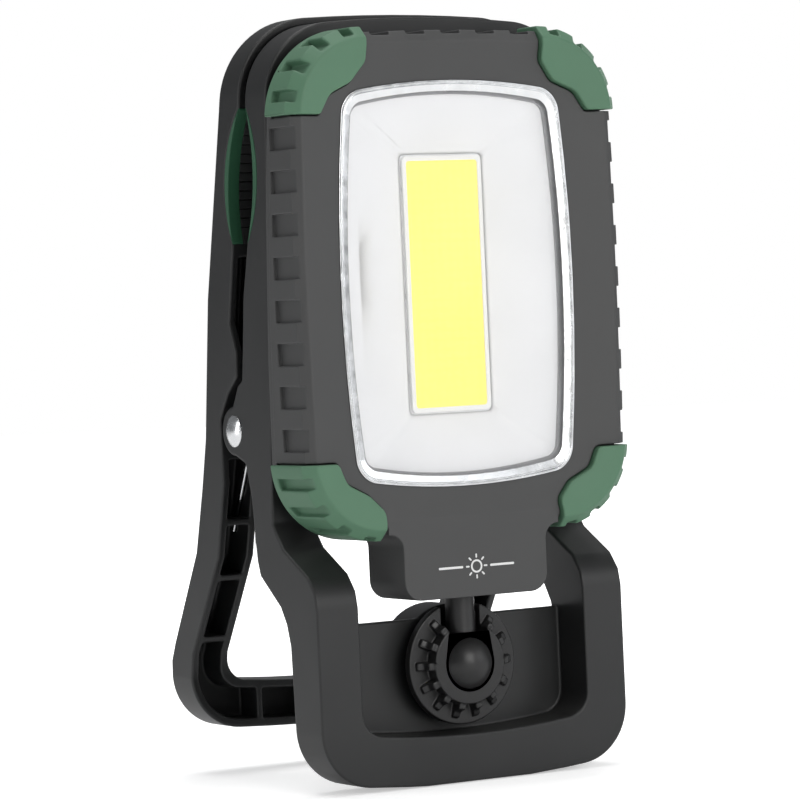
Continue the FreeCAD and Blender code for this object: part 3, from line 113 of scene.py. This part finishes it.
share = tree.nodes.new("ShaderNodeMapRange")
tree.links.new(ray.outputs["Is Camera Ray"], share.inputs["Value"])
share.inputs["To Min"].default_value = 0.25
tree.links.new(share.outputs["Result"], sheet.inputs["Emission Strength"])
floor.data.materials.append(paper)

lens = bpy.data.cameras.new("long_lens")
lens.lens = 180.0
lens.sensor_width = 36.0
lens.clip_start = 0.05
camera = bpy.data.objects.new("long_lens", lens)
bpy.context.collection.objects.link(camera)
camera_right = Vector((0.857074, -0.513226, -0.044985))
camera_up = Vector((0.051138, -0.002137, 0.998689))
camera_back = camera_right.cross(camera_up).normalized()
turn = Matrix((camera_right, camera_up, camera_back)).transposed().to_4x4()
camera.matrix_world = Matrix.Translation((-0.50389, -0.84949, 0.11539)) @ turn
bpy.context.scene.camera = camera
bpy.context.scene.view_settings.view_transform = "Standard"


# ---- Clamp frames -------------------------------------------------------------------------------------
# Two injection-moulded loops of black glass-filled nylon. The tool leaves every edge slightly rolled and
# a fine spark-eroded grain on the skin, and handling polishes the edges.

def make_group(name, inputs, outputs):
    """An empty shader group with named sockets; inputs are (name, kind, value)."""
    group = bpy.data.node_groups.new(name, "ShaderNodeTree")
    for label, kind, value in inputs:
        socket = group.interface.new_socket(label, in_out="INPUT", socket_type=kind)
        if value is not None:
            socket.default_value = value
    for label, kind in outputs:
        group.interface.new_socket(label, in_out="OUTPUT", socket_type=kind)
    source = group.nodes.new("NodeGroupInput")
    sink = group.nodes.new("NodeGroupOutput")
    return group, source, sink


def add_node(holder, kind, **settings):
    """A shader node with its settings."""
    node = holder.nodes.new(kind)
    for key, value in settings.items():
        setattr(node, key, value)
    return node


def add_maths(holder, operation, first, second):
    """A Math node whose two inputs are sockets or plain numbers."""
    node = add_node(holder, "ShaderNodeMath", operation=operation)
    for index, value in enumerate((first, second)):
        if isinstance(value, (int, float)):
            node.inputs[index].default_value = value
        else:
            holder.links.new(value, node.inputs[index])
    return node.outputs[0]


# rolled_edge: a normal rounded over at the edges, and a mask of the edges that hands have rubbed
rolled_edge, source, sink = make_group(
    "rolled_edge",
    [("Width", "NodeSocketFloat", 0.0005), ("Gain", "NodeSocketFloat", 4.0),
     ("Patch Scale", "NodeSocketFloat", 60.0)],
    [("Normal", "NodeSocketVector"), ("Wear", "NodeSocketFloat")])
rounded = add_node(rolled_edge, "ShaderNodeBevel", samples=6)
rolled_edge.links.new(source.outputs["Width"], rounded.inputs["Radius"])
own = add_node(rolled_edge, "ShaderNodeNewGeometry")
alike = add_node(rolled_edge, "ShaderNodeVectorMath", operation="DOT_PRODUCT")
rolled_edge.links.new(rounded.outputs["Normal"], alike.inputs[0])
rolled_edge.links.new(own.outputs["Normal"], alike.inputs[1])
bend = add_maths(rolled_edge, "SUBTRACT", 1.0, alike.outputs["Value"])
bend = add_maths(rolled_edge, "MULTIPLY", bend, source.outputs["Gain"])
where = add_node(rolled_edge, "ShaderNodeTexCoord")
patches = add_node(rolled_edge, "ShaderNodeTexNoise")
patches.inputs["Detail"].default_value = 5.0
rolled_edge.links.new(where.outputs["Object"], patches.inputs["Vector"])
rolled_edge.links.new(source.outputs["Patch Scale"], patches.inputs["Scale"])
worn = add_node(rolled_edge, "ShaderNodeMath", operation="MULTIPLY", use_clamp=True)
rolled_edge.links.new(bend, worn.inputs[0])
rolled_edge.links.new(patches.outputs[0], worn.inputs[1])
rolled_edge.links.new(rounded.outputs["Normal"], sink.inputs["Normal"])
rolled_edge.links.new(worn.outputs[0], sink.inputs["Wear"])

# moulded_grain: spark-eroded skin over a faint sink ripple, and a slow mottle that sets colour and gloss
moulded_grain, source, sink = make_group(
    "moulded_grain",
    [("Grain Scale", "NodeSocketFloat", 2600.0), ("Grain Depth", "NodeSocketFloat", 0.25),
     ("Ripple Scale", "NodeSocketFloat", 45.0), ("Ripple Depth", "NodeSocketFloat", 0.2),
     ("Normal", "NodeSocketVector", None)],
    [("Normal", "NodeSocketVector"), ("Mottle", "NodeSocketFloat")])
where = add_node(moulded_grain, "ShaderNodeTexCoord")
fine = add_node(moulded_grain, "ShaderNodeTexNoise")
fine.inputs["Detail"].default_value = 3.0
slow = add_node(moulded_grain, "ShaderNodeTexNoise")
slow.inputs["Detail"].default_value = 4.0
for texture, label in ((fine, "Grain Scale"), (slow, "Ripple Scale")):
    moulded_grain.links.new(where.outputs["Object"], texture.inputs["Vector"])
    moulded_grain.links.new(source.outputs[label], texture.inputs["Scale"])
ripple = add_node(moulded_grain, "ShaderNodeBump")
ripple.inputs["Distance"].default_value = 0.0004
moulded_grain.links.new(slow.outputs[0], ripple.inputs["Height"])
moulded_grain.links.new(source.outputs["Ripple Depth"], ripple.inputs["Strength"])
moulded_grain.links.new(source.outputs["Normal"], ripple.inputs["Normal"])
grain = add_node(moulded_grain, "ShaderNodeBump")
grain.inputs["Distance"].default_value = 0.00004
moulded_grain.links.new(fine.outputs[0], grain.inputs["Height"])
moulded_grain.links.new(source.outputs["Grain Depth"], grain.inputs["Strength"])
moulded_grain.links.new(ripple.outputs["Normal"], grain.inputs["Normal"])
moulded_grain.links.new(grain.outputs["Normal"], sink.inputs["Normal"])
moulded_grain.links.new(slow.outputs[0], sink.inputs["Mottle"])

# settled_dust: a pale film that gathers on faces that look up
settled_dust, source, sink = make_group(
    "settled_dust", [("Amount", "NodeSocketFloat", 0.1), ("Patch Scale", "NodeSocketFloat", 30.0)],
    [("Mask", "NodeSocketFloat")])
own = add_node(settled_dust, "ShaderNodeNewGeometry")
parts = add_node(settled_dust, "ShaderNodeSeparateXYZ")
settled_dust.links.new(own.outputs["Normal"], parts.inputs[0])
where = add_node(settled_dust, "ShaderNodeTexCoord")
patches = add_node(settled_dust, "ShaderNodeTexNoise")
patches.inputs["Detail"].default_value = 6.0
settled_dust.links.new(where.outputs["Object"], patches.inputs["Vector"])
settled_dust.links.new(source.outputs["Patch Scale"], patches.inputs["Scale"])
facing = add_node(settled_dust, "ShaderNodeMath", operation="MAXIMUM")
settled_dust.links.new(parts.outputs["Z"], facing.inputs[0])
facing.inputs[1].default_value = 0.0
film = add_maths(settled_dust, "MULTIPLY", facing.outputs[0], patches.outputs[0])
film = add_maths(settled_dust, "MULTIPLY", film, source.outputs["Amount"])
settled_dust.links.new(film, sink.inputs["Mask"])


def use_group(holder, group, **values):
    """A group placed in a material with its own values."""
    node = add_node(holder, "ShaderNodeGroup", node_tree=group)
    for label, value in values.items():
        node.inputs[label.replace("_", " ").title()].default_value = value
    return node


def mix_colour(holder, factor, first, second):
    """A colour mix; first and second are sockets or colours."""
    node = add_node(holder, "ShaderNodeMix", data_type="RGBA")
    holder.links.new(factor, node.inputs["Factor"])
    for socket, value in ((node.inputs[6], first), (node.inputs[7], second)):
        if isinstance(value, tuple):
            socket.default_value = value + (1.0,)
        else:
            holder.links.new(value, socket)
    return node.outputs[2]


def between(holder, factor, low, high):
    """A number that runs from low to high as the factor runs from 0.3 to 0.7."""
    node = add_node(holder, "ShaderNodeMapRange")
    holder.links.new(factor, node.inputs["Value"])
    for label, value in (("From Min", 0.3), ("From Max", 0.7), ("To Min", low), ("To Max", high)):
        node.inputs[label].default_value = value
    return node.outputs["Result"]


def moulded(name, dark, light, rubbed, gloss, grain, edge, dust):
    """A moulded plastic or rubber: two base tones, a rubbed edge tone, roughness from the mottle.

    gloss is (lowest, highest roughness); grain is (scale, depth, ripple depth); edge is (width, gain)."""
    material = bpy.data.materials.new(name)
    material.use_nodes = True
    holder = material.node_tree
    shader = holder.nodes["Principled BSDF"]
    edges = use_group(holder, rolled_edge, width=edge[0], gain=edge[1])
    skin = use_group(holder, moulded_grain, grain_scale=grain[0], grain_depth=grain[1],
                     ripple_depth=grain[2])
    film = use_group(holder, settled_dust, amount=dust)
    holder.links.new(edges.outputs["Normal"], skin.inputs["Normal"])
    mottle = between(holder, skin.outputs["Mottle"], 0.0, 1.0)
    colour = mix_colour(holder, mottle, dark, light)
    colour = mix_colour(holder, edges.outputs["Wear"], colour, rubbed)
    colour = mix_colour(holder, film.outputs["Mask"], colour, (0.32, 0.31, 0.29))
    holder.links.new(colour, shader.inputs["Base Color"])
    holder.links.new(between(holder, skin.outputs["Mottle"], gloss[0], gloss[1]),
                     shader.inputs["Roughness"])
    holder.links.new(skin.outputs["Normal"], shader.inputs["Normal"])
    return material


def only(piece):
    """Select one piece alone and make it active."""
    bpy.ops.object.select_all(action="DESELECT")
    piece.select_set(True)
    bpy.context.view_layer.objects.active = piece


def softened(node, roll, rounds=2, from_angle=30.0):
    """The skin of a CAD node with its triangles merged and its sharp edges rolled over."""
    piece = bpy.data.objects.new(node + "_skin", nodes[node].data.copy())
    bpy.context.collection.objects.link(piece)
    only(piece)
    bpy.ops.mesh.customdata_custom_splitnormals_clear()
    bpy.ops.object.mode_set(mode="EDIT")
    bpy.ops.mesh.select_all(action="SELECT")
    bpy.ops.mesh.remove_doubles(threshold=0.000001)
    bpy.ops.mesh.dissolve_limited(angle_limit=math.radians(1.0))
    bpy.ops.object.mode_set(mode="OBJECT")
    rolled = piece.modifiers.new("rolled_edges", "BEVEL")
    rolled.width = roll
    rolled.segments = rounds
    rolled.limit_method = "ANGLE"
    rolled.angle_limit = math.radians(from_angle)
    rolled.use_clamp_overlap = False
    rolled.miter_outer = "MITER_ARC"
    bpy.ops.object.modifier_apply(modifier=rolled.name)
    bpy.ops.object.shade_smooth_by_angle(angle=math.radians(40.0))
    even = piece.modifiers.new("even_shading", "WEIGHTED_NORMAL")
    even.keep_sharp = True
    bpy.ops.object.modifier_apply(modifier=even.name)
    return piece


def settle(piece, material, body, slot, *stood_for):
    """Give a finished piece its material and its body, and hide the CAD nodes that it stands for; slot is
    not used.
    """
    piece.data.materials.clear()
    piece.data.materials.append(material)
    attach(piece, body)
    if stood_for:
        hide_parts(*stood_for)


def dress(node, material):
    """Give a carried-over CAD node its material."""
    for place in nodes[node].material_slots:
        place.material = material


black_nylon = moulded("black_nylon", (0.009, 0.0095, 0.010), (0.013, 0.0135, 0.014), (0.055, 0.056, 0.058),
                      (0.38, 0.46), (2600.0, 0.22, 0.10), (0.0007, 3.0), 0.06)
for node, body in (("front_frame", "front"), ("rear_frame", "rear")):
    settle(softened(node, 0.0005, 3), black_nylon, body, "frame_plastic", node)


# ---- Jaw linings --------------------------------------------------------------------------------------
# Green over-moulded rubber lips at the outside of each jaw, and a black toothed strip beside each lip.

jaw_green = moulded("jaw_green", (0.014, 0.078, 0.036), (0.019, 0.098, 0.046), (0.05, 0.20, 0.11),
                    (0.5, 0.62), (1800.0, 0.2, 0.1), (0.0004, 3.0), 0.03)
grip_black = moulded("grip_black", (0.010, 0.010, 0.011), (0.016, 0.016, 0.017), (0.05, 0.05, 0.052),
                     (0.55, 0.7), (1500.0, 0.3, 0.1), (0.0002, 3.0), 0.05)
for body in ("front", "rear"):
    for side in ("left", "right"):
        pad = body + "_jaw_pad_" + side
        settle(softened(pad, 0.0002, 2), jaw_green, body, "jaw_rubber", pad)
        grip = body + "_jaw_grip_" + side
        settle(softened(grip, 0.00012, 1), grip_black, body, "grip_rubber", grip)


# ---- Hinge --------------------------------------------------------------------------------------------
# A zinc-plated domed rivet through each pair of ears, and a music-wire torsion spring on each shank.

def plated(name, tone, rough, brush, ripple=0.03):
    """A plated or bare metal with fine brushing and slightly dull patches."""
    material = bpy.data.materials.new(name)
    material.use_nodes = True
    holder = material.node_tree
    shader = holder.nodes["Principled BSDF"]
    shader.inputs["Metallic"].default_value = 1.0
    edges = use_group(holder, rolled_edge, width=0.00012, gain=3.0)
    skin = use_group(holder, moulded_grain, grain_scale=brush, grain_depth=0.06, ripple_scale=400.0,
                     ripple_depth=ripple)
    holder.links.new(edges.outputs["Normal"], skin.inputs["Normal"])
    dull = tuple(part * 0.9 for part in tone)
    mottle = between(holder, skin.outputs["Mottle"], 0.0, 1.0)
    holder.links.new(mix_colour(holder, mottle, dull, tone), shader.inputs["Base Color"])
    holder.links.new(between(holder, skin.outputs["Mottle"], rough * 0.7, rough * 1.3),
                     shader.inputs["Roughness"])
    holder.links.new(skin.outputs["Normal"], shader.inputs["Normal"])
    return material


zinc = plated("zinc_plate", (0.78, 0.79, 0.80), 0.24, 3500.0)
spring_steel = plated("spring_steel", (0.82, 0.83, 0.84), 0.16, 5000.0)
for side in ("left", "right"):
    rivet = "hinge_rivet_" + side
    settle(softened(rivet, 0.00025, 2), zinc, "front", "steel", rivet)
    dress("hinge_spring_" + side, spring_steel)


# ---- Neck and knob ------------------------------------------------------------------------------------
# A ball-ended rod of black nylon stands in a split collar. The finned knob turned by the fingers carries
# the collar, and a sprung seat behind the ball holds the head where it is left.

satin_black = moulded("satin_black", (0.008, 0.008, 0.0085), (0.012, 0.012, 0.0125), (0.06, 0.06, 0.062),
                      (0.32, 0.42), (2200.0, 0.12, 0.08), (0.0004, 3.0), 0.04)
settle(softened("neck", 0.0004, 2), satin_black, "neck", "neck_plastic", "neck")
settle(softened("knob", 0.00035, 3), satin_black, "knob", "knob_plastic", "knob")
natural_nylon = moulded("natural_nylon", (0.62, 0.61, 0.55), (0.70, 0.69, 0.63), (0.8, 0.8, 0.74),
                        (0.4, 0.5), (1500.0, 0.1, 0.05), (0.0003, 1.0), 0.0)
dress("seat_plug", satin_black)
dress("ball_seat", natural_nylon)
dress("swivel_bush", natural_nylon)
for node in ("seat_spring", "knob_washer", "knob_ring", "neck_clip"):
    dress(node, zinc)


# ---- Lamp head casing ---------------------------------------------------------------------------------
# A soft-touch rubber skin over the front shell: a bevelled face, square grip notches along both sides and
# the top, and a flat chin that reaches down to the neck.

case_rubber = moulded("case_rubber", (0.046, 0.0465, 0.047), (0.054, 0.0545, 0.055), (0.10, 0.101, 0.103),
                      (0.54, 0.64), (1700.0, 0.35, 0.08), (0.0006, 2.5), 0.03)
settle(softened("front_casing", 0.00015, 2), case_rubber, "head", "case_rubber", "front_casing")
settle(softened("back_cover", 0.0004, 2), case_rubber, "head", "case_rubber", "back_cover")


# ---- Chin symbol --------------------------------------------------------------------------------------
# A plain brightness symbol, pad-printed in white on the chin: a ring with eight rays between two bars. The
# ink stands a few hundredths of a millimetre off the rubber.

def deselect_mesh():
    """Leave nothing selected in the mesh being edited."""
    bpy.ops.mesh.select_all(action="DESELECT")


def begin_print(name):
    """An empty mesh object to draw a flat printed symbol in."""
    bpy.ops.object.select_all(action="DESELECT")
    piece = bpy.data.objects.new(name, bpy.data.meshes.new(name))
    bpy.context.collection.objects.link(piece)
    only(piece)
    bpy.ops.object.mode_set(mode="EDIT")
    return piece


def draw_ring(centre, inner, outer, steps, gap=0):
    """A flat upright ring, open at its top by a number of steps."""
    deselect_mesh()
    bpy.ops.mesh.primitive_circle_add(vertices=steps, radius=inner, fill_type="NOTHING", location=centre,
                                      rotation=(math.pi / 2, 0, 0))
    if gap:
        reach = inner * math.cos(math.pi / steps * gap)
        net = bmesh.from_edit_mesh(bpy.context.object.data)
        top = [vert for vert in net.verts if vert.select and vert.co.z - centre[2] > reach]
        deselect_mesh()
        for vert in top:
            vert.select = True
        bpy.ops.mesh.select_mode(type="VERT")
        net.select_flush_mode()
        bpy.ops.mesh.delete(type="VERT")
        net = bmesh.from_edit_mesh(bpy.context.object.data)
        for vert in net.verts:
            vert.select = (vert.co - Vector(centre)).length < inner * 1.02
        net.select_flush(True)
        bmesh.update_edit_mesh(bpy.context.object.data)
    bpy.ops.mesh.extrude_region()
    bpy.ops.transform.resize(value=(outer / inner, 1, outer / inner), center_override=centre)


def draw_bar(centre, wide, tall):
    """A flat upright bar with its corners cut round."""
    deselect_mesh()
    bpy.ops.mesh.primitive_plane_add(size=1.0, location=centre, rotation=(math.pi / 2, 0, 0))
    bpy.ops.transform.resize(value=(wide, 1, tall), center_override=centre)
    bpy.ops.mesh.bevel(offset=min(wide, tall) * 0.45, segments=4, affect="VERTICES")


def finish_print(piece, thickness, towards):
    """Give the drawn symbol the thickness of its ink, on the side that it faces."""
    bpy.ops.mesh.select_all(action="SELECT")
    bpy.ops.mesh.remove_doubles(threshold=0.000001)
    net = bmesh.from_edit_mesh(piece.data)
    for face in net.faces:
        if face.normal.y * towards < 0:
            face.normal_flip()
    bmesh.update_edit_mesh(piece.data)
    bpy.ops.object.mode_set(mode="OBJECT")
    ink = piece.modifiers.new("ink", "SOLIDIFY")
    ink.thickness = thickness
    ink.offset = 1.0
    bpy.ops.object.modifier_apply(modifier=ink.name)


ink_gap = 0.00001
ink_thickness = 0.00004
ring_steps = 40
ray_count = 8
ray_distance = 0.0025
bar_distance = 0.0072
symbol_height = 0.0072
casing_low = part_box("front_casing")[0]
chin_symbol = begin_print("chin_symbol")
spot = (0.0, casing_low[1] - ink_gap, casing_low[2] + symbol_height)
draw_ring(spot, 0.00115, 0.0016, ring_steps)
draw_bar((0.0, spot[1], spot[2] + ray_distance), 0.00042, 0.0010)
bpy.ops.mesh.spin(steps=ray_count, angle=2 * math.pi, center=spot, axis=(0, 1, 0), dupli=True)
for side in (-1, 1):
    draw_bar((side * bar_distance, spot[1], spot[2]), 0.0068, 0.00055)
finish_print(chin_symbol, ink_thickness, -1)
white_ink = moulded("white_ink", (0.72, 0.72, 0.72), (0.78, 0.78, 0.78), (0.8, 0.8, 0.8),
                    (0.4, 0.5), (2500.0, 0.1, 0.02), (0.00005, 0.3), 0.0)
settle(chin_symbol, white_ink, "head", "reflector_white")


# ---- Corner bumpers -----------------------------------------------------------------------------------
# Four green rubber corners, let into the casing and standing a little proud of it, with fanned grip
# notches.

bumper_green = moulded("bumper_green", (0.072, 0.166, 0.098), (0.084, 0.186, 0.113), (0.15, 0.29, 0.19),
                       (0.56, 0.66), (1600.0, 0.3, 0.08), (0.0006, 2.2), 0.03)
for level in ("upper", "lower"):
    for side in ("left", "right"):
        node = "bumper_%s_%s" % (level, side)
        settle(softened(node, 0.00035, 3), bumper_green, "head", "bumper_rubber", node)


# ---- Window -------------------------------------------------------------------------------------------
# A bright-plated rim with a fine groove holds a clear acrylic lens on a thin grey silicone gasket.

bright_plate = plated("bright_plate", (0.84, 0.85, 0.86), 0.22, 2500.0, 0.004)
settle(softened("window_rim", 0.00015, 2), bright_plate, "head", "rim_chrome", "window_rim")
gasket_grey = moulded("gasket_grey", (0.30, 0.30, 0.31), (0.34, 0.34, 0.35), (0.4, 0.4, 0.4),
                      (0.5, 0.6), (1500.0, 0.1, 0.05), (0.0002, 1.0), 0.0)
dress("lens_gasket", gasket_grey)

acrylic = bpy.data.materials.new("clear_acrylic")
acrylic.use_nodes = True
holder = acrylic.node_tree
shader = holder.nodes["Principled BSDF"]
shader.inputs["Base Color"].default_value = (0.95, 0.97, 1.0, 1.0)
smear = add_node(holder, "ShaderNodeTexNoise")
smear.inputs["Scale"].default_value = 25.0
smear.inputs["Detail"].default_value = 5.0
where = add_node(holder, "ShaderNodeTexCoord")
holder.links.new(where.outputs["Object"], smear.inputs["Vector"])
holder.links.new(between(holder, smear.outputs[0], 0.02, 0.09), shader.inputs["Roughness"])
holder.links.new(between(holder, smear.outputs[0], 0.05, 0.08), shader.inputs["Alpha"])
dress("lens", acrylic)


# ---- Reflector and light ------------------------------------------------------------------------------
# A white satin tray slopes from the window to the light strip. The strip is a yellow silicone layer over
# rows of small chips, inside a white dam, on a metal board. The yellow layer carries a painted glow: an
# emission that brightens it on its own.

tray_white = moulded("tray_white", (0.80, 0.80, 0.81), (0.84, 0.84, 0.85), (0.88, 0.88, 0.88),
                     (0.30, 0.38), (1200.0, 0.05, 0.04), (0.0008, 0.5), 0.0)
settle(softened("reflector", 0.0003, 2), tray_white, "head", "reflector_white", "reflector")
dam_white = moulded("dam_white", (0.86, 0.86, 0.85), (0.9, 0.9, 0.89), (0.92, 0.92, 0.92),
                    (0.4, 0.5), (2500.0, 0.1, 0.05), (0.0002, 0.5), 0.0)
dress("led_border", dam_white)

phosphor = bpy.data.materials.new("yellow_phosphor")
phosphor.use_nodes = True
holder = phosphor.node_tree
shader = holder.nodes["Principled BSDF"]
shader.inputs["Roughness"].default_value = 0.45
# Painted glow: the yellow layer emits light of its own, and its base colour is kept dark so that glow and
# lit colour together stay short of white.
shader.inputs["Emission Strength"].default_value = 0.84
chips = add_node(holder, "ShaderNodeTexVoronoi")
chips.inputs["Scale"].default_value = 420.0
chips.inputs["Randomness"].default_value = 0.0
where = add_node(holder, "ShaderNodeTexCoord")
holder.links.new(where.outputs["Object"], chips.inputs["Vector"])
painted_glow = mix_colour(holder, chips.outputs["Distance"], (1.0, 0.85, 0.17), (1.0, 0.80, 0.11))
holder.links.new(painted_glow, shader.inputs["Emission Color"])
holder.links.new(mix_colour(holder, chips.outputs["Distance"], (0.36, 0.31, 0.06), (0.32, 0.27, 0.04)),
                 shader.inputs["Base Color"])
dress("led_phosphor", phosphor)
bare_aluminium = plated("bare_aluminium", (0.78, 0.78, 0.79), 0.34, 2500.0)
dress("led_board", bare_aluminium)
dress("heat_spreader", bare_aluminium)


# ---- Battery bay fittings -----------------------------------------------------------------------------
# The rubber power button over its switch, the charging port behind its hinged flap, and four indicators.

button_rubber = moulded("button_rubber", (0.035, 0.036, 0.037), (0.045, 0.046, 0.047), (0.1, 0.1, 0.1),
                        (0.6, 0.7), (1500.0, 0.3, 0.1), (0.0003, 2.0), 0.05)
settle(softened("power_button", 0.0002, 2), button_rubber, "button", "button_rubber", "power_button")
settle(softened("port_flap", 0.0002, 2), button_rubber, "flap", "button_rubber", "port_flap")
port_steel = plated("port_steel", (0.7, 0.7, 0.72), 0.28, 3000.0)
dress("charge_port", port_steel)
dress("tact_switch", port_steel)
clear_lamp = moulded("clear_lamp", (0.78, 0.84, 0.88), (0.85, 0.9, 0.94), (0.9, 0.95, 1.0),
                     (0.1, 0.18), (900.0, 0.05, 0.03), (0.0002, 0.5), 0.0)
for index in range(4):
    dress("charge_light_%d" % (index + 1), clear_lamp)


# ---- Case screws --------------------------------------------------------------------------------------
# Four zinc-plated pan-head screws with a cross recess, sunk in the cover. One is shaped here, and each of
# the four is a copy of it.

def screw_seat(node):
    """The middle of a case screw's outer face."""
    low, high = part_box(node)
    return Vector(((low[0] + high[0]) / 2, high[1], (low[2] + high[2]) / 2))


head_radius = 0.0022
head_height = 0.0011
head_round = 0.0005
shank_radius = 0.0012
shank_length = 0.0055
recess_size = (0.0024, 0.0014, 0.0005)
seat = screw_seat("case_screw_1")
bpy.ops.object.select_all(action="DESELECT")
bpy.ops.mesh.primitive_cylinder_add(vertices=32, radius=head_radius, depth=head_height,
                                    location=seat - Vector((0, head_height / 2, 0)),
                                    rotation=(math.pi / 2, 0, 0))
screw = bpy.context.object
screw.name = "case_screw_first"
bpy.ops.object.transform_apply(location=True, rotation=True, scale=True)
bpy.ops.object.mode_set(mode="EDIT")
net = bmesh.from_edit_mesh(screw.data)
for face in net.faces:
    face.select = face.normal.y < -0.9
bmesh.update_edit_mesh(screw.data)
bpy.ops.mesh.inset(thickness=head_radius - shank_radius)
bpy.ops.mesh.extrude_region_move(TRANSFORM_OT_translate={"value": (0, -shank_length, 0)})
deselect_mesh()
bpy.ops.mesh.select_mode(type="EDGE")
net = bmesh.from_edit_mesh(screw.data)
for edge in net.edges:
    edge.select = all(abs(vert.co.y - seat.y) < 1e-6 for vert in edge.verts)
bmesh.update_edit_mesh(screw.data)
bpy.ops.mesh.bevel(offset=head_round, segments=4, affect="EDGES")
bpy.ops.object.mode_set(mode="OBJECT")
bpy.ops.object.select_all(action="DESELECT")
bpy.ops.mesh.primitive_cube_add(size=1.0, location=seat)
cross = bpy.context.object
bpy.ops.object.mode_set(mode="EDIT")
bpy.ops.transform.resize(value=recess_size, center_override=seat)
bpy.ops.mesh.duplicate()
bpy.ops.transform.rotate(value=math.pi / 2, orient_axis="Y", center_override=seat)
bpy.ops.object.mode_set(mode="OBJECT")
bpy.ops.object.transform_apply(location=True, rotation=True, scale=True)
only(screw)
recess = screw.modifiers.new("cross_recess", "BOOLEAN")
recess.operation = "DIFFERENCE"
recess.solver = "EXACT"
recess.use_self = True
recess.object = cross
bpy.ops.object.modifier_apply(modifier=recess.name)
bpy.data.objects.remove(cross)
bpy.ops.object.shade_smooth_by_angle(angle=math.radians(35.0))
for index in range(4):
    node = "case_screw_%d" % (index + 1)
    piece = bpy.data.objects.new(node + "_turned", screw.data.copy())
    bpy.context.collection.objects.link(piece)
    piece.data.transform(Matrix.Translation(screw_seat(node) - seat))
    settle(piece, zinc, "head", "steel", node)
bpy.data.objects.remove(screw)


# ---- Button symbol ------------------------------------------------------------------------------------
# The usual on-off mark, a broken ring with a stroke, printed in white on the button's face. It is made like
# the symbol on the chin.

button_low, button_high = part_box("power_button")
button_symbol = begin_print("button_symbol")
opening_steps = 5
stroke_distance = 0.0017
spot = (0.0, button_high[1] + ink_gap, (button_low[2] + button_high[2]) / 2)
draw_ring(spot, 0.0019, 0.0023, ring_steps, opening_steps)
draw_bar((0.0, spot[1], spot[2] + stroke_distance), 0.0004, 0.0022)
finish_print(button_symbol, ink_thickness, 1)
settle(button_symbol, white_ink, "button", "reflector_white")


# ---- Inside the head ----------------------------------------------------------------------------------
# The driver board, the foil pouch cell and the foam under it.

solder_mask = moulded("solder_mask", (0.012, 0.13, 0.05), (0.016, 0.16, 0.06), (0.3, 0.35, 0.2),
                      (0.2, 0.3), (900.0, 0.1, 0.05), (0.0002, 1.0), 0.0)
dress("driver_board", solder_mask)
foil = plated("pouch_foil", (0.74, 0.75, 0.77), 0.35, 900.0)
dress("battery_cell", foil)
foam_grey = moulded("foam_grey", (0.12, 0.12, 0.12), (0.18, 0.18, 0.18), (0.2, 0.2, 0.2),
                    (0.8, 0.95), (1400.0, 0.9, 0.3), (0.0003, 0.5), 0.0)
dress("battery_pad", foam_grey)
